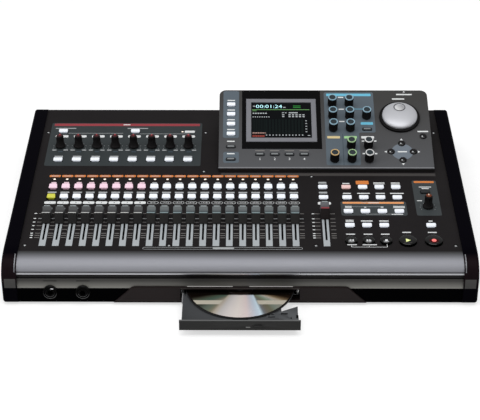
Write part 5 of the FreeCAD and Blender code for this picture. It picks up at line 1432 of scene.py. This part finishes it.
def addFaders():
    made = {name: finish("fader" + name[0].upper() + name[1:], look) for name, look in faderLook.items()}
    cap, stem, glint, shaded = capMesh(), stemMesh(), glintMesh(), []
    banks = [("fader_bank_%d" % n, "cap" if n < 3 else "stereo", "line" if n < 3 else "stereoLine")
             for n in range(1, 6)] + [("master_fader", "masterCap", "masterLine")]
    for number, (node, capKey, lineKey) in enumerate(banks, start=1):
        spots = [(c.x, c.y) for c in solidCentres(node, panelPlace)]
        line = lineMesh(*faderCap["masterLine" if node == "master_fader" else "line"])
        if capKey not in shaded:
            shaded.append(capKey)
            for paintedShading, start, end in faderCap["paintedShadings"]:
                mask = placeMask(made[capKey], panelPlace, 1, spots[0][1] + start, spots[0][1] + end)
                twoTone(made[capKey], mask, faderLook[capKey][paintedShading])
        for label, item, key in (("faderCaps", cap, capKey), ("faderLines", line, lineKey),
                                 ("faderStems", stem, "stem"), ("faderGlints", glint, "glint")):
            mesh = itemsMesh(spots, item, made[key])
            addPiece(label + str(number), mesh, panelPlace, [made[key]], node,
                     [node] if item is cap else ())


addFaders()
print("faders made")

# Knobs

trimKnob = {"base": 6.2, "top": 3.8, "height": 16.0, "gap": 0.7, "ribs": 28, "rib": 0.34, "capRadius": 3.2,
            "pointer": (1.3, 3.0)}
knobLook = {
    "rubber": tint("0d0b0c 131112", 0.5, 0.62, shine=0.2, grain=2600, relief=0.04),
    "redCap": tint("3e191c 481e22", 0.35, 0.45, shine=0.2),
    "red": tint("b5444a be4e54", 0.35, 0.45, shine=0.2),
    "orangeCap": tint("6a3016 7a3a1a", 0.35, 0.45, shine=0.2),
    "orange": tint("f0d0b8 f4dcc8", 0.35, 0.45),
    "blue": tint("8fb4c8 9cc0d2", 0.35, 0.45),
    "tan": tint("d9b57a e0c088", 0.35, 0.45),
    "green": tint("a8cf98 b4d8a4", 0.35, 0.45),
    "white": tint("e2e4e4 ececec", 0.35, 0.45),
    "well": tint("2a3338 323b40", 0.3, 0.4, shine=0.2),
}
knobFinish = {name: finish(name + "Knob", look) for name, look in knobLook.items()}


def ribbed(body, count, radius, low, high, rib):  # a turned body with upright grip ribs
    return runTree(ribsRoundBody, body, {"Count": count, "Radius": radius, "Low": low, "High": high,
                                         "Rib": rib, "Material": knobFinish["rubber"]})


def trimKnobMesh():
    base, top, height, gap = trimKnob["base"], trimKnob["top"], trimKnob["height"], trimKnob["gap"]
    profile = [(base - 0.6, gap), (base, gap + 0.4), (base, gap + 1.6)]
    profile += curvePoints((base - 0.1, gap + 2.0), (top + 1.1, gap + 3.6), (top + 0.45, gap + 7.0),
                           (top + 0.2, height - 1.4), 10)
    profile += [(top, height - 0.5), (top - 0.5, height)]
    body = spunMesh(profile, 48)
    body = ribbed(body, trimKnob["ribs"], top + 0.4, 5.6, height - 1.6, trimKnob["rib"])
    cap = spunMesh([(trimKnob["capRadius"], height - 0.3), (trimKnob["capRadius"], height + 0.02),
                    (trimKnob["capRadius"] - 0.2, height + 0.12)], 32)
    width, length = trimKnob["pointer"]
    pointer = boxMesh((-width / 2, 0.2, height), (width / 2, length, height + 0.2))
    return [body, cap, pointer]


def addTrimKnobs():
    parts = trimKnobMesh()
    shaft = spunMesh([(2.8, -2), (2.8, 1.2)], 24)
    whole = mergeMeshes(parts + [shaft])
    spots = [("trim_knob_%d" % n, "trimKnob%d" % n, "redCap", "red") for n in range(1, 9)]
    spots.append(("monitor_knob", "monitorKnob", "orangeCap", "orange"))
    for node, name, cap, pointer in spots:
        c = solidCentres(node, panelPlace)[0]
        finishes = [knobFinish[key] for key in ("rubber", cap, pointer, "rubber")]
        addPiece(name, moved(whole, Matrix.Translation((c.x, c.y, 0))), panelPlace, finishes, node,
                 [node])


podKnob = {"radius": 5.35, "top": 5.2, "height": 14.0, "gap": 0.7, "ring": 1.35, "ribs": 36, "rib": 0.3,
           "colours": ("blue",) * 7 + ("green", "white", "tan", "green", "white")}


def podKnobMesh():
    radius, top, height, gap = podKnob["radius"], podKnob["top"], podKnob["height"], podKnob["gap"]
    body = spunMesh([(radius - 0.5, gap), (radius, gap + 0.5), (radius, gap + 2.4),
                     (radius - 0.25, gap + 3.0), (top - 0.2, height - 1.6), (top - 0.5, height - 0.9),
                     (top - 1.9, height - 0.9)], 48)
    body = ribbed(body, podKnob["ribs"], top - 0.1, gap + 3.6, height - 2.0, podKnob["rib"])
    inner = top - podKnob["ring"]
    ring = meshFrom(lambda work: loftRing(work, [(top - 0.25, height - 1.3), (top - 0.1, height - 0.4),
                                                 (top - 0.5, height), (inner + 0.25, height),
                                                 (inner, height - 0.3), (inner, height - 1.3)], 48))
    well = spunMesh([(inner, height - 1.2), (inner, height - 0.8), (inner - 1.2, height - 0.6),
                     (0.3, height - 0.55)], 32)
    return [body, ring, well]


def addPodKnobs():
    shaft = spunMesh([(2.8, -2), (2.8, 1.2)], 24)
    whole = mergeMeshes(podKnobMesh() + [shaft])
    for number, colour in enumerate(podKnob["colours"], start=1):
        node = "pod_knob_%02d" % number
        c = solidCentres(node, podPlace)[0]
        finishes = [knobFinish[key] for key in ("rubber", colour, "well", "rubber")]
        addPiece("podKnob%02d" % number, moved(whole, Matrix.Translation((c.x, c.y, 0))), podPlace,
                 finishes, node, [node])


jogWheel = {"radius": 21.0, "low": 1.6, "rim": 4.4, "height": 9.0, "dimple": 6.6, "dimpleDepth": 1.7,
            "offset": 9.8, "ring": 0.5, "bright": "fafafc"}
jogLook = {
    "pearl": tint("c8c9ce d1d2d7", 0.34, 0.44, metal=0.4, grain=4200, relief=0.015),
    "dish": tint("aeaeb2 b8b8bc", 0.25, 0.35, metal=0.4),
    "edge": tint("4c4d50 56575a", 0.3, 0.4, metal=0.3),
}


def addJogWheel():
    radius, rim, top = jogWheel["radius"], jogWheel["rim"], jogWheel["height"]
    profile = [(radius - 0.3, jogWheel["low"]), (radius, jogWheel["low"] + 0.4), (radius, rim)]
    for i in range(1, 21):
        angle = math.pi / 2 * i / 20
        profile.append((max(radius * math.cos(angle), 0.02), rim + (top - rim) * math.sin(angle)))
    dome = spunMesh(profile, 96)
    depth, dimple, offset = jogWheel["dimpleDepth"], jogWheel["dimple"], jogWheel["offset"]
    reach = (dimple ** 2 + depth ** 2) / (2 * depth)
    height = rim + (top - rim) * math.sqrt(1 - (offset / radius) ** 2)
    ball = spunMesh([(max(reach * math.cos(math.radians(a)), 0.01), reach * math.sin(math.radians(a)))
                     for a in range(-90, 91, 3)], 72)
    lean = Matrix.Rotation(-math.atan((top - rim) * offset / (radius ** 2 * math.sqrt(
        1 - (offset / radius) ** 2))), 4, "X")
    seat = Matrix.Translation((0, offset, height)) @ lean
    dome = carved(dome, [moved(ball, seat @ Matrix.Translation((0, 0, reach - depth)))])
    lip = meshFrom(lambda work: loftRing(work, [(dimple + jogWheel["ring"] * math.cos(a * math.pi / 3),
                                                 jogWheel["ring"] * 0.6 * math.sin(a * math.pi / 3))
                                                for a in range(6)], 60))
    curve = [(r, reach + 0.12 - depth - math.sqrt(reach ** 2 - r ** 2)) for r in (dimple * 0.84, dimple * 0.6,
                                                                                  dimple * 0.3, 0.02)]
    dish = spunMesh([(dimple * 0.84, curve[0][1] - 0.1)] + curve, 40)
    whole = mergeMeshes([dome, moved(dish, seat), moved(lip, seat)])
    c = solidCentres("jog_wheel", podPlace)[0]
    made = [finish("jog" + key.capitalize(), look) for key, look in jogLook.items()]
    across = podPlace @ Matrix.Rotation(-math.pi / 3, 4, "Z")
    middle = (across.inverted() @ podPlace @ Vector((c.x, c.y + offset, 0))).y
    # one side of the dimple's dish painted near white: a painted highlight
    twoTone(made[1], placeMask(made[1], across, 1, middle + 4.0, middle - 4.0), jogWheel["bright"])
    addPiece("jogWheel", moved(whole, Matrix.Translation((c.x, c.y, 0))), podPlace, made, "jog_wheel",
             ["jog_wheel"])


addTrimKnobs()
addPodKnobs()
addJogWheel()
print("knobs made")

# Disc

discSize = {"radius": 58.8, "hole": 7.5, "clamp": 15.0, "ridge": 16.0, "mirror": 56.6, "edge": 58.4}
# The disc's colours are painted reflections of the lamps, with a dark zone at the rear painted as the mouth's
# shadow.
discLook = {
    "mirror": tint("d8d8da e2e2e4", 0.22, 0.28, metal=0.15, relief=0.0005, shine=0.15),
    "near": ((0.0, "20201c"), (0.135, "3c4038"), (0.149, "60695f"), (0.16, "6b7364"), (0.169, "857f6c"),
             (0.176, "b9ae9e"), (0.19, "c9c5c3"), (0.207, "dcd5d2"), (0.23, "e8dfd8"), (0.255, "e4d4d2"),
             (0.267, "d0cdd4"), (0.279, "c6d2e0"), (0.289, "cfe2ee"), (0.297, "74787c"), (0.306, "706a60"),
             (0.318, "6e6c58"), (0.33, "7a8478"), (0.345, "8a8c82"), (0.5, "403c30")),
    "far": ((0.0, "0c0806"), (0.045, "100a07"), (0.054, "3c3c32"), (0.066, "485648"), (0.08, "4c6054"),
            (0.092, "646a5e"), (0.106, "84806f"), (0.12, "b6ab9f"), (0.14, "c8c6c0"), (0.3, "cad8d8"),
            (0.335, "6c8078"), (0.36, "726c5e"), (0.38, "7a8872"), (0.398, "94a092"), (0.411, "bab0a6"),
            (0.42, "b2a48e"), (0.43, "7c6a52"), (0.44, "4c3c2a"), (0.448, "20160e"), (0.5, "0c0806")),
    "nearFocus": (5.1, -140.0),
    "farFocus": (5.0, -163.0),
    "fan": (0.171, 0.176, 0.292, 0.297),
    "paintedReflectionBand": (-191.0, -184.6),
    "cream": "cbc4b4",
    "change": (-191.2, -191.8),
    "dark": (-175.2, -173.6),
    "paintedShading": "0e0a08",
    "clear": tint("0e0b0a 14100e", 0.2, 0.3, shine=0.1),
    "rim": tint("303133 363739", 0.3, 0.4, shine=0.2),
}


def angleValue(material, focus):  # 0 to 1 round a point of the disc, 0.25 towards the front
    tree = material.node_tree
    centre = addNode(tree, "ShaderNodeMapping", {"Vector": addWhere(tree),
                                                 "Location": (-focus[0] * mm, -focus[1] * mm, 0)})
    return addNode(tree, "ShaderNodeTexGradient", {"Vector": centre[0]}, gradient_type="RADIAL")["Fac"]


def discFinish():  # painted reflections: streaks that fan out from the hub and a pale band; and the painted shadow of the mouth
    material = finish("discMirror", discLook["mirror"])
    tree = material.node_tree
    near, far = angleValue(material, discLook["nearFocus"]), angleValue(material, discLook["farFocus"])
    tree.links.new(rampColour(material, far, discLook["far"]),
                   tree.nodes["Principled BSDF"].inputs["Base Color"])
    twoTone(material, zoneMask(material, [(flatPlace, 1) + discLook["paintedReflectionBand"]], 0.8), discLook["cream"])
    low, rise, fall, high = discLook["fan"]
    fan = rampColour(material, near, ((low, "000000"), (rise, "ffffff"), (fall, "ffffff"), (high, "000000")))
    either = addMath(tree, "MAXIMUM", fan, placeMask(material, flatPlace, 1, *discLook["change"]))
    twoTone(material, either, rampColour(material, near, discLook["near"]))
    return twoTone(material, placeMask(material, flatPlace, 1, *discLook["dark"]), discLook["paintedShading"])


def addDisc():
    low, high = boxOf("disc")
    steps, z0, z1 = 120, low.z, high.z
    hub = finish("discHub", tint("1c1613 241c18", 0.2, 0.3, shine=0.3))
    r = discSize

    def ring(inner, outer, top):
        return meshFrom(lambda work: loftRing(work, [(inner, z0), (outer, z0), (outer, top - 0.1),
                                                     (outer - 0.1, top), (inner + 0.1, top),
                                                     (inner, top - 0.1)], steps))

    hubRings = joinedAsOne([ring(r["hole"], r["clamp"], z1), ring(r["clamp"] + 0.3, r["clamp"] + 0.8,
                                                                  z1 + 0.05),
                            ring(r["clamp"], r["ridge"], z1 - 0.1)])
    whole = mergeMeshes([ring(r["ridge"], r["mirror"], z1), hubRings, ring(r["mirror"], r["edge"], z1),
                         ring(r["edge"], r["radius"], z1)])
    place = flatPlace @ Matrix.Translation(((low.x + high.x) / 2, (low.y + high.y) / 2, 0))
    finishes = [discFinish(), hub] + [finish("disc" + key.capitalize(), discLook[key]) for key in ("clear",
                                                                                                   "rim")]
    addPiece("discPlate", whole, place, finishes, "disc", ["disc"])


trayShape = {"railFrom": 32.4, "railX": 60.1, "bezel": 2.1, "bed": 15.2,
             "slots": ((29.5, 37.0, 12.0, 14.0), (33.4, 36.2, 16.6, 18.4), (43.2, 50.6, 17.4, 19.8),
                       (53.4, 54.6, 9.6, 12.4), (59.4, 62.0, 10.4, 16.4)),
             "grooves": ((-59.5, -58.9, 8.0, 90.0), (-8.0, 8.6, 7.9, 8.4)),
             "runner": (-62.4, -61.3, 38.0, 90.0), "dash": (6.3, 10.9, 10.7, 11.9)}
trayLook = {
    "bezel": "242423",
    "bezelTopHighlight": "6a6b6b",
    "steel": tint("b0b1b3 bcbdbf", 0.25, 0.35, metal=0.5),
    "dark": tint("060606 0a0a0a", 0.4, 0.5, shine=0.1),
    "dash": tint("8c8c8a 969694", 0.4, 0.5, shine=0.2),
}


def addTray():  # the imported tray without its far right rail, with slots and small fittings
    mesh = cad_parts["disc_tray"].data.copy()
    mesh.transform(flatPlace.inverted())
    body = meshFrom(lambda work: work.from_mesh(mesh))
    low, high = boxOf("disc_tray")
    size, bed = trayShape, trayShape["bed"]
    cutters = [boxMesh((size["railX"], low.y + size["railFrom"], low.z), (high.x + 2, high.y + 2, high.z))]
    cutters += [boxMesh((x0, low.y + y0, bed - 1.5), (x1, low.y + y1, bed + 1)) for x0, x1, y0,
                y1 in size["slots"]]
    plastic = caseFinish["tray"]
    bezel = low.y + size["bezel"]
    twoTone(plastic, placeMask(plastic, flatPlace, 1, bezel, bezel - 0.1), trayLook["bezel"])
    # a pale line along the bezel's top edge: a painted highlight
    twoTone(plastic, zoneMask(plastic, [(flatPlace, 1, low.y - 1, bezel),
                                        (flatPlace, 2, high.z - 0.3, high.z + 1)]), trayLook["bezelTopHighlight"])
    addPiece("discTray", joinedAsOne([carved(body, cutters)]), flatPlace, [plastic], "tray",
             ["disc_tray"])
    made = {name: finish("tray" + name.capitalize(), trayLook[name]) for name in ("steel", "dark", "dash")}
    grooves = [boxMesh((x0, low.y + y0, bed - 0.3), (x1, low.y + y1, bed + 0.06)) for x0, x1, y0,
               y1 in size["grooves"]]
    grooves += [boxMesh((x0, low.y + y0, bed - 1.6), (x1, low.y + y1, bed - 0.3)) for x0, x1, y0,
                y1 in size["slots"]]
    addPiece("trayGrooves", mergeMeshes(grooves), flatPlace, [made["dark"]], "tray")
    x0, x1, y0, y1 = size["runner"]
    addPiece("trayRunner", boxMesh((x0, low.y + y0, bed - 1.0), (x1, low.y + y1, bed + 0.4)), flatPlace,
             [made["steel"]], "tray")
    x0, x1, z0, z1 = size["dash"]
    addPiece("trayDash", boxMesh((x0, low.y - 0.03, z0), (x1, low.y + 0.3, z1)), flatPlace, [made["dash"]],
             "tray")


addDisc()
addTray()
print("disc made")

# Screws

screwSize = {"head": ((2.2, -1.5), (2.45, -0.8), (2.5, -0.35), (2.1, -0.05), (1.0, 0.0)), "cross": 1.1,
             "slit": 0.8, "slitDepth": 0.9}
screwLook = tint("1e1e1f 262627", 0.28, 0.38, metal=0.5, grain=3000)


def crossBoxes(low, high):  # the two bars of a cross recess
    reach, half = screwSize["cross"], screwSize["slit"] / 2
    return [boxMesh((-x, -y, low), (x, y, high)) for x, y in ((reach, half), (half, reach))]


def screwMesh():
    return carved(spunMesh(screwSize["head"], 32), crossBoxes(-screwSize["slitDepth"], 1))


def addScrews():
    steel = finish("screwSteel", screwLook)
    spots = [(c.x, c.y) for c in solidCentres("screws", panelPlace)]
    addPiece("panelScrews", itemsMesh(spots, screwMesh(), steel), panelPlace, [steel], "case",
             ["screws"])
    # pale, slightly glowing crosses set in the recesses: a painted highlight on each screw
    shine = finish("screwShine", tint("e2e4e6 eceef0", 0.2, 0.3, glow=0.15))
    cross = mergeMeshes(crossBoxes(-0.8, -0.1))
    addPiece("screwCrosses", itemsMesh(spots, cross, shine), panelPlace, [shine], "case")


addScrews()
print("screws made")

# Studio

studio = {
    "floor": 12.0,
    "floorGlow": 0.6,
    "sky": 0.42,
    "paper": tint("c4c4c4 cacaca", 0.7, 0.8, shine=0.1, glowColour="ffffff"),
    "lamps": (("topSoftbox", (0.0, -0.25, 1.5), (0.0, 0.0, 0.0), (1.4, 0.9), 11),
              ("leftSoftbox", (-1.4, -0.5, 0.9), (0.0, 0.0, 0.05), (0.6, 0.9), 4.5)),
}
cameraView = {"place": (5.437, -1524.63, 985.663), "down": 32.523, "turn": -0.231, "roll": -0.041,
              "focal": 1541.378, "imageWidth": 480, "sensor": 36.0}


def addFloor():
    size = studio["floor"]
    mesh = bpy.data.meshes.new("studioFloor")
    mesh.from_pydata([(-size, -size, 0), (size, -size, 0), (size, size, 0), (-size, size, 0)], [],
                     [(0, 1, 2, 3)])
    floor = addObject("studioFloor", mesh)
    paper = finish("floorPaper", studio["paper"])
    tree = paper.node_tree
    path = addNode(tree, "ShaderNodeLightPath")
    seen = path["Is Camera Ray"]
    for label in ("Is Glossy Ray", "Is Transmission Ray"):
        seen = addMath(tree, "MAXIMUM", seen, path[label])
    power = addMath(tree, "MULTIPLY", seen, studio["floorGlow"])
    tree.links.new(power, tree.nodes["Principled BSDF"].inputs["Emission Strength"])
    mesh.materials.append(paper)


def addSky():
    world = bpy.data.worlds.new("studioSky")
    bpy.context.scene.world = world
    world.use_nodes = True
    sky = world.node_tree.nodes["Background"]
    sky.inputs["Color"].default_value = (1, 1, 1, 1)
    sky.inputs["Strength"].default_value = studio["sky"]


def addLamp(name, place, aim, size, power):
    light = bpy.data.lights.new(name, "AREA")
    light.shape = "RECTANGLE"
    light.size, light.size_y = size
    light.energy = power
    lamp = addObject(name, light)
    lamp.location = place
    lamp.rotation_euler = (Vector(aim) - Vector(place)).to_track_quat("-Z", "Y").to_euler()


def addCamera():
    down, turn = math.radians(cameraView["down"]), math.radians(cameraView["turn"])
    ahead = Vector((math.sin(turn) * math.cos(down), math.cos(turn) * math.cos(down), -math.sin(down)))
    right = ahead.cross(Vector((0, 0, 1))).normalized()
    above = right.cross(ahead)
    roll = math.radians(cameraView["roll"])
    level = right * math.cos(roll) + above * math.sin(roll)
    above = level.cross(ahead)
    data = bpy.data.cameras.new("photoCamera")
    data.sensor_width = cameraView["sensor"]
    data.sensor_fit = "HORIZONTAL"
    data.lens = cameraView["focal"] / cameraView["imageWidth"] * cameraView["sensor"]
    camera = addObject("photoCamera", data)
    turned = Matrix((level, above, -ahead)).transposed().to_4x4()
    camera.matrix_world = Matrix.Translation(Vector(cameraView["place"]) * mm) @ turned
    bpy.context.scene.camera = camera


addFloor()
addSky()
for lampValues in studio["lamps"]:
    addLamp(*lampValues)
addCamera()
bpy.context.scene.view_settings.view_transform = "Standard"
print("studio ready")
